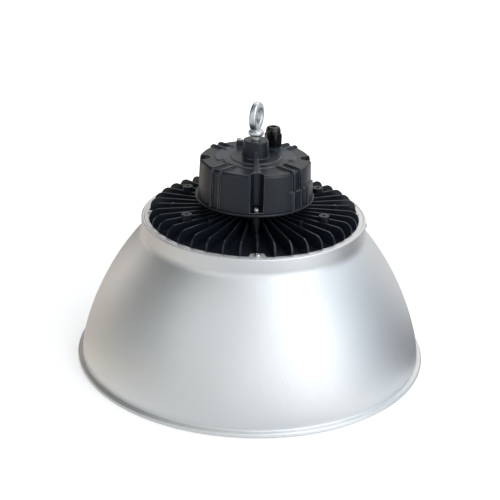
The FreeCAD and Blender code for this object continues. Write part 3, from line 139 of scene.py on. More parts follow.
def rounded(corners: Sequence[Sequence[float]], steps: int = 5) -> np.ndarray:
    """Return an outline whose corners are rounded.

    A corner (x, y, r) becomes an arc of radius r that touches both of its runs. The arc's centre
    lies on the corner's bisector, at r over the sine of half the corner's angle.

    Args:
        corners: The corners in order, each with its radius. The first and last stay sharp.
        steps: How many points each arc has.

    Returns:
        An array of shape (n, 2).
    """
    table = np.asarray(corners, float)
    place, radius = table[:, :2], table[:, 2]
    parts = [place[:1]]
    for before, here, after, r in zip(place, place[1:], place[2:], radius[1:]):
        if r <= 0:
            parts.append(here[None])
            continue
        back = (before - here) / np.linalg.norm(before - here)
        ahead = (after - here) / np.linalg.norm(after - here)
        half = math.acos(np.clip(back @ ahead, -1, 1)) / 2
        bisector = (back + ahead) / np.linalg.norm(back + ahead)
        centre = here + bisector * r / math.sin(half)
        first = here + back * r / math.tan(half) - centre
        last = here + ahead * r / math.tan(half) - centre
        turn = math.atan2(first[0] * last[1] - first[1] * last[0], first @ last)
        angle = math.atan2(first[1], first[0]) + np.linspace(0, turn, steps)
        parts.append(centre + r * np.column_stack([np.cos(angle), np.sin(angle)]))
    return np.vstack([*parts, place[-1:]])


def spun(angle: np.ndarray, radius: np.ndarray, height: np.ndarray) -> np.ndarray:
    """Return the points (r cos a, r sin a, z), with a row for each angle a in radians."""
    angle, radius, height = np.broadcast_arrays(angle[:, None], radius, height)
    return np.stack([radius * np.cos(angle), radius * np.sin(angle), height], axis=-1)


def lathe(profile: np.ndarray, turns: int) -> Grid:
    """Return a surface of revolution about the vertical axis.

    Args:
        profile: Points of radius and height, shape (n, 2).
        turns: How many angles it takes.
    """
    angle = np.linspace(0, 2 * np.pi, turns, endpoint=False)
    return Grid(spun(angle, profile[:, 0], profile[:, 1]), closed_rows=True)


def moved(grid: Grid, offset: Sequence[float], turn: float = 0.0) -> Grid:
    """Return the grid turned about the vertical axis by an angle in degrees, then moved."""
    c, s = math.cos(math.radians(turn)), math.sin(math.radians(turn))
    spin = np.array([[c, s, 0], [-s, c, 0], [0, 0, 1]])
    return Grid(grid.points @ spin + np.asarray(offset), grid.closed_rows, grid.closed_columns)


def mesh_object(name: str, grids: Sequence[Grid], sharp_angle: float = 35.0) -> Object:
    """Join grids into one mesh object with closed poles and outward faces.

    Args:
        name: The object's name.
        grids: The surfaces, in metres.
        sharp_angle: Edges that bend more than this, in degrees, stay sharp.

    Returns:
        The new object, at the origin and unturned.
    """
    offsets = np.cumsum([0] + [grid.points.shape[0] * grid.points.shape[1] for grid in grids])
    vertices = np.vstack([grid.points.reshape(-1, 3) for grid in grids])
    faces = np.vstack([grid.faces() + start for grid, start in zip(grids, offsets)])
    mesh = bpy.data.meshes.new(name)
    mesh.from_pydata(vertices.tolist(), [], faces.tolist())
    tidy_mesh(mesh)
    shade_by_angle(mesh, sharp_angle)
    return linked(name, mesh)


def linked(name: str, data: bpy.types.ID) -> Object:
    """Return a new object that shows the data, at the origin and unturned, in the scene."""
    obj = bpy.data.objects.new(name, data)
    bpy.context.scene.collection.objects.link(obj)
    return obj


def tidy_mesh(mesh: Mesh) -> None:
    """Merge points that lie together, and turn every closed shell's faces outwards."""
    work = bmesh.new()
    work.from_mesh(mesh)
    bmesh.ops.remove_doubles(work, verts=work.verts, dist=MERGE_GAP)
    bmesh.ops.dissolve_degenerate(work, edges=work.edges, dist=MERGE_GAP)
    bmesh.ops.recalc_face_normals(work, faces=work.faces)
    work.to_mesh(mesh)
    work.free()


def cast_copy(node: Object, name: str, edge: float, clamp: bool) -> Object:
    """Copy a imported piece, join its triangles into whole faces and round its sharp edges.

    Args:
        node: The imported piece, which stays as it is.
        name: The copy's name.
        edge: The width of the rounded edge, in metres.
        clamp: Whether the smallest face limits the rounding everywhere.

    Returns:
        The copy, at the origin and unturned, with its rounding applied.
    """
    mesh = node.data.copy()
    mesh.name = name
    work = bmesh.new()
    work.from_mesh(mesh)
    bmesh.ops.remove_doubles(work, verts=work.verts, dist=WELD_GAP)
    flat = math.radians(FLAT_ANGLE)
    bmesh.ops.dissolve_limit(work, angle_limit=flat, verts=work.verts, edges=work.edges)
    work.to_mesh(mesh)
    work.free()
    mesh.shade_smooth()
    while len(mesh.materials) < 2:
        mesh.materials.append(None)
    obj = linked(name, mesh)
    bevel = obj.modifiers.new("rounded_edges", "BEVEL")
    bevel.material = 1
    bevel.width = edge
    bevel.segments = 2
    bevel.limit_method = "ANGLE"
    bevel.angle_limit = math.radians(CORNER_ANGLE)
    bevel.use_clamp_overlap = clamp
    obj.modifiers.new("even_shading", "WEIGHTED_NORMAL")
    apply_modifiers(obj)
    mark_edges(obj.data)
    return obj


def mark_edges(mesh: Mesh) -> None:
    """Write 1 on the rounded faces and 0 on the others, as the mesh's own attribute."""
    index = np.empty(len(mesh.polygons), dtype=np.int32)
    mesh.polygons.foreach_get("material_index", index)
    attribute = mesh.attributes.new(EDGE, "FLOAT", "FACE")
    attribute.data.foreach_set("value", (index == 1).astype(np.float32))
    mesh.polygons.foreach_set("material_index", np.zeros_like(index))


def apply_modifiers(obj: Object) -> Object:
    """Put the finished shape of an object's modifiers into its own mesh, and return the object."""
    graph = bpy.context.evaluated_depsgraph_get()
    graph.update()
    whole = bpy.data.meshes.new_from_object(obj.evaluated_get(graph), depsgraph=graph)
    obj.modifiers.clear()
    obj.data = whole
    return obj


def shade_by_angle(mesh: Mesh, angle: float) -> None:
    """Shade the mesh smooth, apart from edges that bend more than the angle in degrees."""
    mesh.shade_smooth()
    mesh.set_sharp_from_angle(angle=math.radians(angle))


def dress(obj: Object, finish: str, material: Material, *nodes: str) -> None:
    """Give a new piece its material, and let it ride and stand for its CAD nodes."""
    obj.data.materials.clear()
    obj.data.materials.append(material)
    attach(obj, BODY)
    if nodes:
        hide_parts(*nodes)
    LOG.info("%s stands for %s", obj.name, ", ".join(nodes) or "no node")


# Pieces


@dataclass
class SpunReflector:
    """The spun aluminium reflector: dome, shoulder, neck, flange with four tabs and rolled rim."""

    rim_radius: float = 224.9 * MM
    rim_height: float = 6.0 * MM
    rim_width: float = 6.5 * MM
    rim_round: float = 2.4 * MM
    rim_groove: float = 2.0 * MM
    bead_depth: float = 0.5 * MM
    wall: float = 1.5 * MM
    foot_pull: float = 25.0 * MM
    shoulder_pull: float = 73.4 * MM
    shoulder_slope: float = 48.4
    neck_radius: float = 141.5 * MM
    neck_height: float = 14.4 * MM
    neck_fillet: float = 14.0 * MM
    flange_width: float = 8.8 * MM
    flange_round: float = 1.2 * MM
    flange_line: float = 0.35 * MM
    line_place: float = 0.62
    tab_length: float = 10.2 * MM
    tab_half_angle: float = 4.1
    tab_blend: float = 0.55
    tab_span: float = 6.0
    tab_count: int = 4
    turns: int = 360

    def dome(self, inset: float) -> np.ndarray:
        """Return the dome's section from shoulder to foot, as a cubic curve.

        The curve is (1-t)^3 A + 3(1-t)^2 t B + 3(1-t) t^2 C + t^3 D. A is the end of the neck's
        fillet, B lies down the slope from it, C lies above the foot D.

        Args:
            inset: How far the inner face lies inside the outer one, in metres.
        """
        slope = math.radians(self.shoulder_slope)
        down = np.array([math.cos(slope), -math.sin(slope)])
        inwards = np.array([-math.sin(slope), -math.cos(slope)])
        first = self.neck_end() + inwards * inset
        foot = np.array([self.rim_radius - self.rim_width - inset, self.rim_height + self.rim_groove])
        t = np.linspace(0, 1, 46)[:, None]
        rise = np.array([0.0, self.foot_pull])
        second, third = first + down * self.shoulder_pull, foot + rise
        return (1 - t) ** 3 * first + 3 * (1 - t) ** 2 * t * second + 3 * (1 - t) * t**2 * third + t**3 * foot

    def neck_foot(self) -> float:
        """Return the height at which the neck's fillet begins."""
        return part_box("reflector")[1][2] - self.wall - self.neck_height

    def neck_end(self) -> np.ndarray:
        """Return where the neck's fillet meets the dome."""
        slope = math.radians(self.shoulder_slope)
        centre = np.array([self.neck_radius + self.neck_fillet, self.neck_foot()])
        return centre - self.neck_fillet * np.array([math.sin(slope), math.cos(slope)])

    def section(self) -> np.ndarray:
        """Return the closed section, from the flange's inner edge down the outside and back up inside."""
        top = self.neck_foot() + self.neck_height + self.wall
        seat = top - self.wall
        inner = self.neck_radius - self.flange_width
        line = inner + self.flange_width * self.line_place
        turn = 270.0 - self.shoulder_slope
        centre = (self.neck_radius + self.neck_fillet, self.neck_foot())
        flange = rounded(
            [
                (inner, top, 0),
                (line - 2 * self.flange_line, top, 0.2 * MM),
                (line, top - self.flange_line, 0.1 * MM),
                (line + 2 * self.flange_line, top, 0.2 * MM),
                (self.neck_radius, top, self.flange_round),
                (self.neck_radius, self.neck_foot(), 0),
            ]
        )
        foot = self.rim_radius - self.rim_width
        middle = self.rim_height / 2
        rim = rounded(
            [
                (foot, self.rim_height + self.rim_groove, 0),
                (foot, self.rim_height, self.rim_groove * 0.9),
                (self.rim_radius, self.rim_height, self.rim_round),
                (self.rim_radius, middle + self.bead_depth, 0.3 * MM),
                (self.rim_radius - self.bead_depth, middle, 0.15 * MM),
                (self.rim_radius, middle - self.bead_depth, 0.3 * MM),
                (self.rim_radius, 0.0, 2.0 * MM),
                (foot - self.wall, 0.0, 0.4 * MM),
                (foot - self.wall, self.rim_height + self.rim_groove, 0),
            ]
        )
        outer_fillet = arc(centre, self.neck_fillet, 180.0, turn, 10)
        inner_fillet = arc(centre, self.neck_fillet + self.wall, turn, 180.0, 10)
        return np.vstack(
            [
                flange[:-1],
                outer_fillet,
                self.dome(0.0)[1:],
                rim[1:-1],
                self.dome(self.wall)[::-1],
                inner_fillet[1:],
                [(self.neck_radius - self.wall, seat), (inner, seat)],
            ]
        )

    def tab_share(self, angle: np.ndarray) -> np.ndarray:
        """Return 1 on a tab and 0 between tabs, with a smooth step 3s^2 - 2s^3 at each side."""
        pitch = 360.0 / self.tab_count
        off = np.abs((angle + pitch / 2) % pitch - pitch / 2)
        step = np.clip((self.tab_half_angle + self.tab_blend - off) / (2 * self.tab_blend), 0, 1)
        return step * step * (3 - 2 * step)

    def build(self, material: Material) -> None:
        """Spin the section, and draw its inner edge inwards at the tabs."""
        fine = np.linspace(-self.tab_span, self.tab_span, 41)
        pitch = 360.0 / self.tab_count
        tabs = [k * pitch + fine for k in range(self.tab_count)]
        even = np.linspace(0.0, 360.0, self.turns, endpoint=False)
        angle = np.unique(np.round(np.concatenate([even, *tabs]) % 360.0, 4))
        section = self.section()
        radius = np.broadcast_to(section[:, 0], (len(angle), len(section))).copy()
        inner = self.neck_radius - self.flange_width
        edge = np.abs(section[:, 0] - inner) < 1e-6
        radius[:, edge] -= (self.tab_length * self.tab_share(angle))[:, None]
        points = spun(np.radians(angle), radius, section[:, 1])
        shell = mesh_object("spun_reflector", [Grid(points, True, True)], 42.0)
        dress(shell, "spun_aluminium", material, "reflector")


@dataclass
class ForgedEyeBolt:
    """The zinc-plated eye bolt: a ring of rounded section on a collar, and its shank."""

    shank_radius: float = 5.6 * MM
    shank_height: float = 5.4 * MM
    thread_radius: float = 5.0 * MM
    collar_radius: float = 9.8 * MM
    collar_height: float = 7.0 * MM
    foot_radius: float = 4.4 * MM
    foot_height: float = 3.0 * MM
    ring_radius: float = 18.3 * MM
    ring_depth: float = 8.0 * MM
    ring_width: float = 9.0 * MM
    squareness: float = 3.0
    ring_turn: float = -21.6
    voxel: float = 0.38 * MM
    softening: int = 7

    def stem(self, low: float, boss: float, collar: float) -> Grid:
        """Return thread, shank and collar as one turned surface.

        Args:
            low: The height of the thread's end.
            boss: The height of the boss that the shank stands on.
            collar: The height of the collar's underside.
        """
        top = collar + self.collar_height
        profile = rounded(
            [
                (0.0, low, 0),
                (self.thread_radius, low, 0.8 * MM),
                (self.thread_radius, boss, 0),
                (self.shank_radius, boss, 0),
                (self.shank_radius, collar, 0.8 * MM),
                (self.collar_radius, collar, 3.0 * MM),
                (self.collar_radius, top, 2.8 * MM),
                (self.foot_radius, top, 2.2 * MM),
                (self.foot_radius, top + self.foot_height, 0),
                (0.0, top + self.foot_height, 0),
            ],
            6,
        )
        return lathe(profile, 96)

    def ring(self, centre: float) -> Grid:
        """Return the ring: a section |x/a|^n + |y/b|^n = 1 carried round a circle about its level axis."""
        along = np.radians(np.linspace(0, 360, 160, endpoint=False))[:, None]
        around = np.radians(np.linspace(0, 360, 48, endpoint=False))[None, :]
        power = 2.0 / self.squareness
        c, s = np.cos(around), np.sin(around)
        out = self.ring_depth / 2 * np.sign(c) * np.abs(c) ** power
        side = self.ring_width / 2 * np.sign(s) * np.abs(s) ** power
        radius = self.ring_radius - self.ring_depth / 2 + out
        rise, reach = radius * np.cos(along), radius * np.sin(along)
        points = np.stack([np.broadcast_to(side, rise.shape), reach, rise], axis=-1)
        return moved(Grid(points, True, True), (0.0, 0.0, centre), self.ring_turn)

    def build(self, material: Material) -> None:
        """Join ring and stem into one soft forged form."""
        low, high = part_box("eye_bolt")
        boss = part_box("driver_housing")[1][2]
        centre = high[2] - self.ring_radius
        stem = self.stem(low[2], boss, boss + self.shank_height)
        bolt = mesh_object("forged_eye_bolt", [stem, self.ring(centre)])
        remesh = bolt.modifiers.new("one_form", "REMESH")
        remesh.mode = "VOXEL"
        remesh.voxel_size = self.voxel
        remesh.use_smooth_shade = True
        soften = bolt.modifiers.new("soft_forging", "SMOOTH")
        soften.factor = 0.5
        soften.iterations = self.softening
        apply_modifiers(bolt)
        bolt.data.shade_smooth()
        dress(bolt, "zinc_plate", material, "eye_bolt")


@dataclass
class PanScrew:
    """A pan-head screw with a cross recess, about the vertical axis with its seat at height 0."""

    head_radius: float = 3.75 * MM
    head_height: float = 2.6 * MM
    shank_radius: float = 2.0 * MM
    length: float = 9.0 * MM
    recess_reach: float = 0.56
    recess_width: float = 0.13
    recess_depth: float = 0.5
    recess_blend: float = 0.09

    def grid(self) -> Grid:
        """Return the screw as a turned surface whose top sinks by the recess.

        The head's top is an ellipse's quarter with a flat middle. The recess is its depth times a
        smooth step of the distance inside the cross |x| or |y| < width, max(|x|, |y|) < reach.
        """
        r, h = self.head_radius, self.head_height
        across = np.linspace(1.0, 0.0, 22)
        dome = np.column_stack([r * across, h * (0.5 + 0.5 * np.sqrt(1 - across**4))])
        shank = [(0.0, -self.length), (self.shank_radius, -self.length), (self.shank_radius, 0.0)]
        profile = np.vstack([shank, [(r * 0.97, 0.0), (r, h * 0.08)], dome])
        grid = lathe(profile, 48)
        x, y = np.abs(grid.points[..., 0]) / r, np.abs(grid.points[..., 1]) / r
        inside = np.minimum(self.recess_reach - np.maximum(x, y), self.recess_width - np.minimum(x, y))
        step = np.clip(inside / self.recess_blend + 0.5, 0, 1)
        depth = self.recess_depth * h * step * step * (3 - 2 * step)
        grid.points[..., 2] -= np.where(grid.points[..., 2] > h * 0.4, depth, 0.0)
        return grid


@dataclass(frozen=True)
class ScrewSet:
    """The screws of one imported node, on a circle.

    Attributes:
        node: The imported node.
        finish: The slot of their finish.
        count: How many there are.
        start: The angle of the first, in degrees.
        screw: Their shape.
        downwards: Whether their heads face down.
        first_turn: How far the first one's recess is turned, in degrees.
        next_turn: How much further each next one's is.
    """

    node: str
    finish: str
    count: int
    start: float
    screw: PanScrew
    downwards: bool = False
    first_turn: float = 20.0
    next_turn: float = 37.0

    def build(self, material: Material) -> None:
        """Set the screws at their places, each with its recess turned another way.

        The radius of their circle comes from the reach of the one nearest the X axis.
        """
        low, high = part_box(self.node)
        seat = low[2] + self.screw.head_height if self.downwards else high[2] - self.screw.head_height
        angles = np.radians(self.start + 360.0 * np.arange(self.count) / self.count)
        circle = (high[0] - self.screw.head_radius) / np.max(np.cos(angles))
        grids = []
        for k, a in enumerate(angles):
            grid = moved(self.screw.grid(), (0.0, 0.0, 0.0), self.next_turn * k + self.first_turn)
            if self.downwards:
                grid = Grid(grid.points * np.array([1, -1, -1]), True)
            grids.append(moved(grid, (circle * math.cos(a), circle * math.sin(a), seat)))
        screws = mesh_object(f"{self.node}_pan_heads", grids, 50.0)
        dress(screws, self.finish, material, self.node)


@dataclass
class Fasteners:
    """All screws that can be seen."""

    side_angle: float = -5.0
    earth_turn: float = 75.0

    def build(self, materials: dict[str, Material]) -> None:
        """Build the rings of screws and the single ones."""
        small = PanScrew(2.8 * MM, 1.8 * MM, 1.5 * MM, 6.0 * MM)
        for group in (
            ScrewSet("reflector_screws", "stainless", 4, 0.0, PanScrew()),
            ScrewSet("housing_screws", "stainless", 4, 0.0, PanScrew()),
            ScrewSet("lens_ring_screws", "stainless", 8, 27.0, PanScrew(length=16.0 * MM), downwards=True),
        ):
            group.build(materials[group.finish])
        self.single("earth_screw", PanScrew(), materials["stainless"])
        self.side(small, materials["stainless"])

    def single(self, node: str, screw: PanScrew, material: Material) -> None:
        """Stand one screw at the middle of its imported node."""
        low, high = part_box(node)
        place = ((low[0] + high[0]) / 2, (low[1] + high[1]) / 2, high[2] - screw.head_height)
        piece = mesh_object(f"{node}_pan_head", [moved(screw.grid(), place, self.earth_turn)], 50.0)
        dress(piece, "stainless", material, node)

    def side(self, screw: PanScrew, material: Material) -> None:
        """Lay the screw of the neck's side level, with its head outwards."""
        low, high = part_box("reflector_side_screw")
        grid = screw.grid()
        level = grid.points[..., [2, 1, 0]] * np.array([1, 1, -1])
        a = math.radians(self.side_angle)
        reach = high[0] / math.cos(a) - screw.head_height
        place = (reach * math.cos(a), reach * math.sin(a), (low[2] + high[2]) / 2)
        piece = mesh_object("side_pan_head", [moved(Grid(level, True), place, self.side_angle)], 50.0)
        dress(piece, "stainless", material, "reflector_side_screw")


@dataclass
class GlandCap:
    """The gland's moulded cap: a hexagon with soft corners below a round dome with its mouth."""

    across: float = 20.0 * MM
    turn: float = 46.4
    hex_height: float = 11.5 * MM
    chamfer: float = 0.9 * MM
    foot_chamfer: float = 0.5 * MM
    corner_power: float = 30.0
    dome_radius: float = 9.6 * MM
    dome_height: float = 9.0 * MM
    mouth_rim: float = 5.2 * MM
    mouth_radius: float = 3.6 * MM
    mouth_depth: float = 2.0 * MM
    spigot_radius: float = 7.7 * MM
    spigot_height: float = 10.5 * MM
    seal_radius: float = 6.1 * MM
    flute_count: int = 12
    flute_depth: float = 0.008

    def hexagon(self, angle: np.ndarray) -> np.ndarray:
        """Return the hexagon's radius: half its width times (sum of |cos(a - a_k)|^p)^(-1/p).

        The sum runs over the directions a_k of three faces, and a high power p leaves the corners
        only slightly soft.
        """
        faces = np.radians(self.turn + 30.0 + 60.0 * np.arange(3))
        total = np.sum(np.abs(np.cos(angle[:, None] - faces)) ** self.corner_power, axis=1)
        return self.across / 2 * total ** (-1 / self.corner_power)

    def build(self, material: Material) -> None:
        """Build the cap as one closed surface, up round the outside and down through the bore.

        The dome's radius is its mouth's rim plus the rest times (1 - t^3)^(1/3) at the share t of
        its height, less shallow flutes.
        """
        low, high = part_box("gland_cap")
        angle = np.radians(np.linspace(0, 360, 216, endpoint=False))
        corner = self.across / math.sqrt(3)
        hexagon = self.hexagon(angle)[:, None]
        levels = np.array([0.0, 0.4 * MM, self.hex_height - self.chamfer, self.hex_height])
        limit = corner - np.array([self.foot_chamfer, 0.0, 0.0, self.chamfer])
        wall = np.minimum(hexagon, limit)
        t = np.linspace(0, 1, 18)
        dome = self.mouth_rim + (self.dome_radius - self.mouth_rim) * (1 - t**3) ** (1 / 3)
        dome_levels = self.hex_height + self.dome_height * t
        wave = (0.5 - 0.5 * np.cos(self.flute_count * angle))[:, None]
        flute = 1 - self.flute_depth * wave * np.sin(np.pi * t)
        top = self.hex_height + self.dome_height
        inner = rounded(
            [
                (self.mouth_rim, top, 0),
                (self.mouth_radius, top, 0.5 * MM),
                (self.mouth_radius, top - self.mouth_depth, 0),
                (self.seal_radius, top - self.mouth_depth, 0),
                (self.seal_radius, self.spigot_height, 0),
                (self.spigot_radius, self.spigot_height, 0),
                (self.spigot_radius, 0.0, 0),
            ]
        )[1:]
        bore = np.broadcast_to(inner[:, 0], (len(angle), len(inner)))
        radius = np.hstack([wall, dome * flute, bore])
        points = spun(angle, radius, np.concatenate([levels, dome_levels, inner[:, 1]]))
        place = ((low[0] + high[0]) / 2, (low[1] + high[1]) / 2, low[2])
        cap = mesh_object("moulded_gland_cap", [moved(Grid(points, True, True), place)], 32.0)
        dress(cap, "black_nylon", material, "gland_cap")


@dataclass
class Castings:
    """The cast and moulded pieces whose sharp edges are rounded."""

    housing_edge: float = 0.6 * MM
    fin_edge: float = 0.45 * MM
    gland_edge: float = 0.4 * MM

    def build(self, frame: dict, materials: dict[str, Material]) -> None:
        """Copy each packed casting with rounded edges."""
        nodes = frame["nodes"]
        for node, name, edge, finish in (
            ("driver_housing", "cast_driver_housing", self.housing_edge, "black_casting"),
            ("heatsink", "cast_heatsink", self.fin_edge, "black_casting"),
            ("gland_body", "moulded_gland_body", self.gland_edge, "black_nylon"),
        ):
            piece = cast_copy(nodes[node], name, edge, clamp=node != "driver_housing")
            dress(piece, finish, materials[finish], node)


# Finishes


class Graph:
    """A short way to write one node tree."""

    def __init__(self, tree: NodeTree) -> None:
        """Keep the tree."""
        self.tree = tree

    @classmethod
    def empty(cls, owner: Material | bpy.types.World) -> Graph:
        """Return the owner's node tree with no node in it."""
        owner.use_nodes = True
        owner.node_tree.nodes.clear()
        return cls(owner.node_tree)

    def add(self, kind: str, inputs: dict | None = None, **settings) -> Node:
        """Add a node, set its properties, and set or link its inputs.

        Args:
            kind: The node's type name.
            inputs: For each input's name or index, a socket to link or a value to set.
            **settings: Properties of the node.

        Returns:
            The node.
        """
        node = self.tree.nodes.new(kind)
        for name, setting in settings.items():
            setattr(node, name, setting)
        for key, source in (inputs or {}).items():
            if isinstance(source, Socket):
                self.tree.links.new(source, node.inputs[key])
            else:
                node.inputs[key].default_value = source
        return node

    def math(self, operation: str, *values) -> Socket:
        """Return the result of one Math node."""
        return self.add("ShaderNodeMath", dict(enumerate(values)), operation=operation).outputs[0]

    def spread(
        self,
        source: Socket,
        start: float,
        end: float,
        low: float = 0.0,
        high: float = 1.0,
        smooth: bool = False,
    ) -> Socket:
        """Return the source mapped from start to end onto low to high, and held there beyond.

        Args:
            source: A socket.
            start: The source's value that gives low.
            end: The source's value that gives high.
            low: The first result.
            high: The second result.
            smooth: Whether the change sets in and ends softly.

        Returns:
            The result's socket.
        """
        kind = "SMOOTHSTEP" if smooth else "LINEAR"
        inputs = {0: source, 1: start, 2: end, 3: low, 4: high}
        return self.add("ShaderNodeMapRange", inputs, interpolation_type=kind).outputs[0]

    def parts(self, place: Socket | None = None) -> Node:
        """Split a place, or the Object coordinates, into X, Y and Z."""
        place = place or self.add("ShaderNodeTexCoord").outputs["Object"]
        return self.add("ShaderNodeSeparateXYZ", {0: place})

    def mix(self, factor, first, second) -> Socket:
        """Return a colour between two colours."""
        node = self.add("ShaderNodeMix", {0: factor}, data_type="RGBA")
        for index, source in ((6, first), (7, second)):
            if isinstance(source, Socket):
                self.tree.links.new(source, node.inputs[index])
            else:
                node.inputs[index].default_value = (*source, 1.0)
        return node.outputs[2]


class Effect(Enum):
    """The effects that materials share, each a node group that Effects writes."""

    CLOUD = "Soft cloud"
    GRAIN = "Fine grain"
    DUST = "Settled dust"
    # the mask for the painted reflection on the roof's flat half ring
    SLAB = "Roof slab"


class Effects:
    """Builds each shared node group once."""

    SOCKETS = {
        Effect.CLOUD: ("Value", {"Size": 0.05}),
        Effect.GRAIN: ("Height", {"Size": 0.001}),
        Effect.DUST: ("Mask", {"Amount": 0.2, "Size": 0.02}),
        Effect.SLAB: ("Mask", {"Inner": 0.031, "Outer": 0.050, "Front": -0.009, "Level": 0.2}),
    }

    def __init__(self) -> None:
        """Start with no group."""
        self.made: dict[Effect, NodeTree] = {}

    def group(self, effect: Effect) -> NodeTree:
        """Return the effect's group, which is built at its first use."""
        if effect not in self.made:
            tree = bpy.data.node_groups.new(effect.value, "ShaderNodeTree")
            output, inputs = self.SOCKETS[effect]
            for name, default in inputs.items():
                socket = tree.interface.new_socket(name, in_out="INPUT", socket_type="NodeSocketFloat")
                socket.default_value = default
            tree.interface.new_socket(output, in_out="OUTPUT", socket_type="NodeSocketFloat")
            graph = Graph(tree)
            write = {"CLOUD": self.cloud, "GRAIN": self.grain, "DUST": self.dust, "SLAB": self.slab}
            source = graph.add("NodeGroupInput")
            graph.add("NodeGroupOutput", {0: write[effect.name](graph, source)})
            self.made[effect] = tree
        return self.made[effect]

    @staticmethod
    def noise(graph: Graph, size, detail: float) -> Socket:
        """Return noise of about the given size in metres, from Object coordinates."""
        place = graph.add("ShaderNodeTexCoord").outputs["Object"]
        scale = graph.math("DIVIDE", 1.0, size)
        node = graph.add("ShaderNodeTexNoise", {"Vector": place, "Scale": scale, "Detail": detail})
        return node.outputs["Fac"]

    def cloud(self, graph: Graph, source: Node) -> Socket:
        """Spread soft noise over 0 to 1."""
        noise = self.noise(graph, source.outputs["Size"], 3.0)
        return graph.spread(noise, 0.3, 0.7, smooth=True)

    def grain(self, graph: Graph, source: Node) -> Socket:
        """Add two fine noises, the second at 2.7 times the size of the first."""
        fine = self.noise(graph, source.outputs["Size"], 2.0)
        coarse = self.noise(graph, graph.math("MULTIPLY", source.outputs["Size"], 2.7), 1.0)
        return graph.math("MULTIPLY", graph.math("ADD", fine, coarse), 0.5)

    @staticmethod
    def reach(graph: Graph, parts: Node) -> Socket:
        """Return the distance from the upright axis."""
        x, y = (graph.math("POWER", parts.outputs[axis], 2.0) for axis in (0, 1))
        return graph.math("SQRT", graph.math("ADD", x, y))

    def slab(self, graph: Graph, source: Node) -> Socket:
        """Mark the half ring between two radii, behind a line from side to side and above a level, where a
        painted reflection goes.
        """
        parts = graph.parts()
        reach = self.reach(graph, parts)
        mask = graph.math("GREATER_THAN", reach, source.outputs["Inner"])
        mask = graph.math("MULTIPLY", mask, graph.math("LESS_THAN", reach, source.outputs["Outer"]))
        for axis, name in ((1, "Front"), (2, "Level")):
            inside = graph.math("GREATER_THAN", parts.outputs[axis], source.outputs[name])
            mask = graph.math("MULTIPLY", mask, inside)
        return mask

    def dust(self, graph: Graph, source: Node) -> Socket:
        """Let dust lie where the surface faces up, broken by noise."""
        normal = graph.add("ShaderNodeNewGeometry").outputs["Normal"]
        facing = graph.spread(graph.parts(normal).outputs[2], 0.2, 1.0)
        noise = self.noise(graph, source.outputs["Size"], 4.0)
        return graph.math("MULTIPLY", graph.math("MULTIPLY", facing, noise), source.outputs["Amount"])


EFFECTS = Effects()
DUST_TONE = (0.32, 0.31, 0.29)
HIGHLIGHT_PATCH = 0.012  # metres over which the painted edge highlight's strength drifts
HIGHLIGHT_LEAST = 0.45  # the least share of that painted highlight


@dataclass(frozen=True)
class Finish:
    """An opaque finish: two tones that drift into each other, a fine grain and its gloss.

    Attributes:
        slot: The record's material slot, which is also the material's name.
        colour: The main tone.
        drift: The second tone.
        roughness: The lowest and the highest roughness.
        metallic: 1 for bare metal.
        cloud_size: How far apart the tones drift, in metres.
        grain_size: The size of the grain, in metres.
        grain_depth: The strength of the grain's bump.
        dust: How much dust lies on upward faces.
        specular: The strength of its plain gloss.
        edge: The tone of a painted highlight on rounded edges, laid on in patches, or None for no change.
        slab: The lighter bluish tone painted on the flat half ring of the driver housing's roof as a painted
            reflection, or None for no change.
    """

    slot: str
    colour: Colour
    drift: Colour
    roughness: tuple[float, float] = (0.4, 0.5)
    metallic: float = 0.0
    cloud_size: float = 0.04
    grain_size: float = 0.0006
    grain_depth: float = 0.1
    dust: float = 0.0
    specular: float = 0.5
    edge: Colour | None = None
    slab: Colour | None = None

    def build(self) -> Material:
        """Return the finish as a node material."""
        material = bpy.data.materials.new(f"{self.slot}_finish")
        graph = Graph.empty(material)
        shader = graph.add("ShaderNodeBsdfPrincipled")
        shader.inputs["Metallic"].default_value = self.metallic
        shader.inputs["Specular IOR Level"].default_value = self.specular
        cloud = self.effect(graph, Effect.CLOUD, Size=self.cloud_size)
        colour = graph.mix(cloud, self.colour, self.drift)
        if self.dust > 0:
            mask = self.effect(graph, Effect.DUST, Amount=self.dust)
            colour = graph.mix(mask, colour, DUST_TONE)
        # Painted reflection: the roof's flat half ring takes a lighter bluish tone.
        if self.slab:
            colour = graph.mix(self.effect(graph, Effect.SLAB), colour, self.slab)
        # Painted highlight: rounded edges are lightened towards the edge tone, in patches.
        if self.edge:
            painted_highlight_faces = graph.add("ShaderNodeAttribute", attribute_name=EDGE).outputs["Fac"]
            highlight_patches = self.effect(graph, Effect.CLOUD, Size=HIGHLIGHT_PATCH)
            share = graph.spread(highlight_patches, 0.0, 1.0, HIGHLIGHT_LEAST)
            colour = graph.mix(graph.math("MULTIPLY", painted_highlight_faces, share), colour, self.edge)
        height = self.effect(graph, Effect.GRAIN, Size=self.grain_size)
        rough = graph.spread(height, 0.3, 0.7, *self.roughness)
        bump = {"Strength": self.grain_depth, "Distance": self.grain_size, "Height": height}
        normal = graph.add("ShaderNodeBump", bump).outputs[0]
        for name, socket in (("Base Color", colour), ("Roughness", rough), ("Normal", normal)):
            graph.tree.links.new(socket, shader.inputs[name])
        graph.add("ShaderNodeOutputMaterial", {"Surface": shader.outputs[0]})
        return material

    @staticmethod
    def effect(graph: Graph, effect: Effect, **values: float) -> Socket:
        """Place a shared effect with its own values and return its output."""
        node = graph.add("ShaderNodeGroup", node_tree=EFFECTS.group(effect))
        for name, number in values.items():
            node.inputs[name].default_value = number
        return node.outputs[0]


@dataclass(frozen=True)
class ClearFinish(Finish):
    """A clear plate, slightly frosted by its grain."""

    index: float = 1.58

    def build(self) -> Material:
        """Return the finish with its light let through."""
        material = super().build()
        shader = next(node for node in material.node_tree.nodes if node.type == "BSDF_PRINCIPLED")
        shader.inputs["Transmission Weight"].default_value = 1.0
        shader.inputs["IOR"].default_value = self.index
        return material


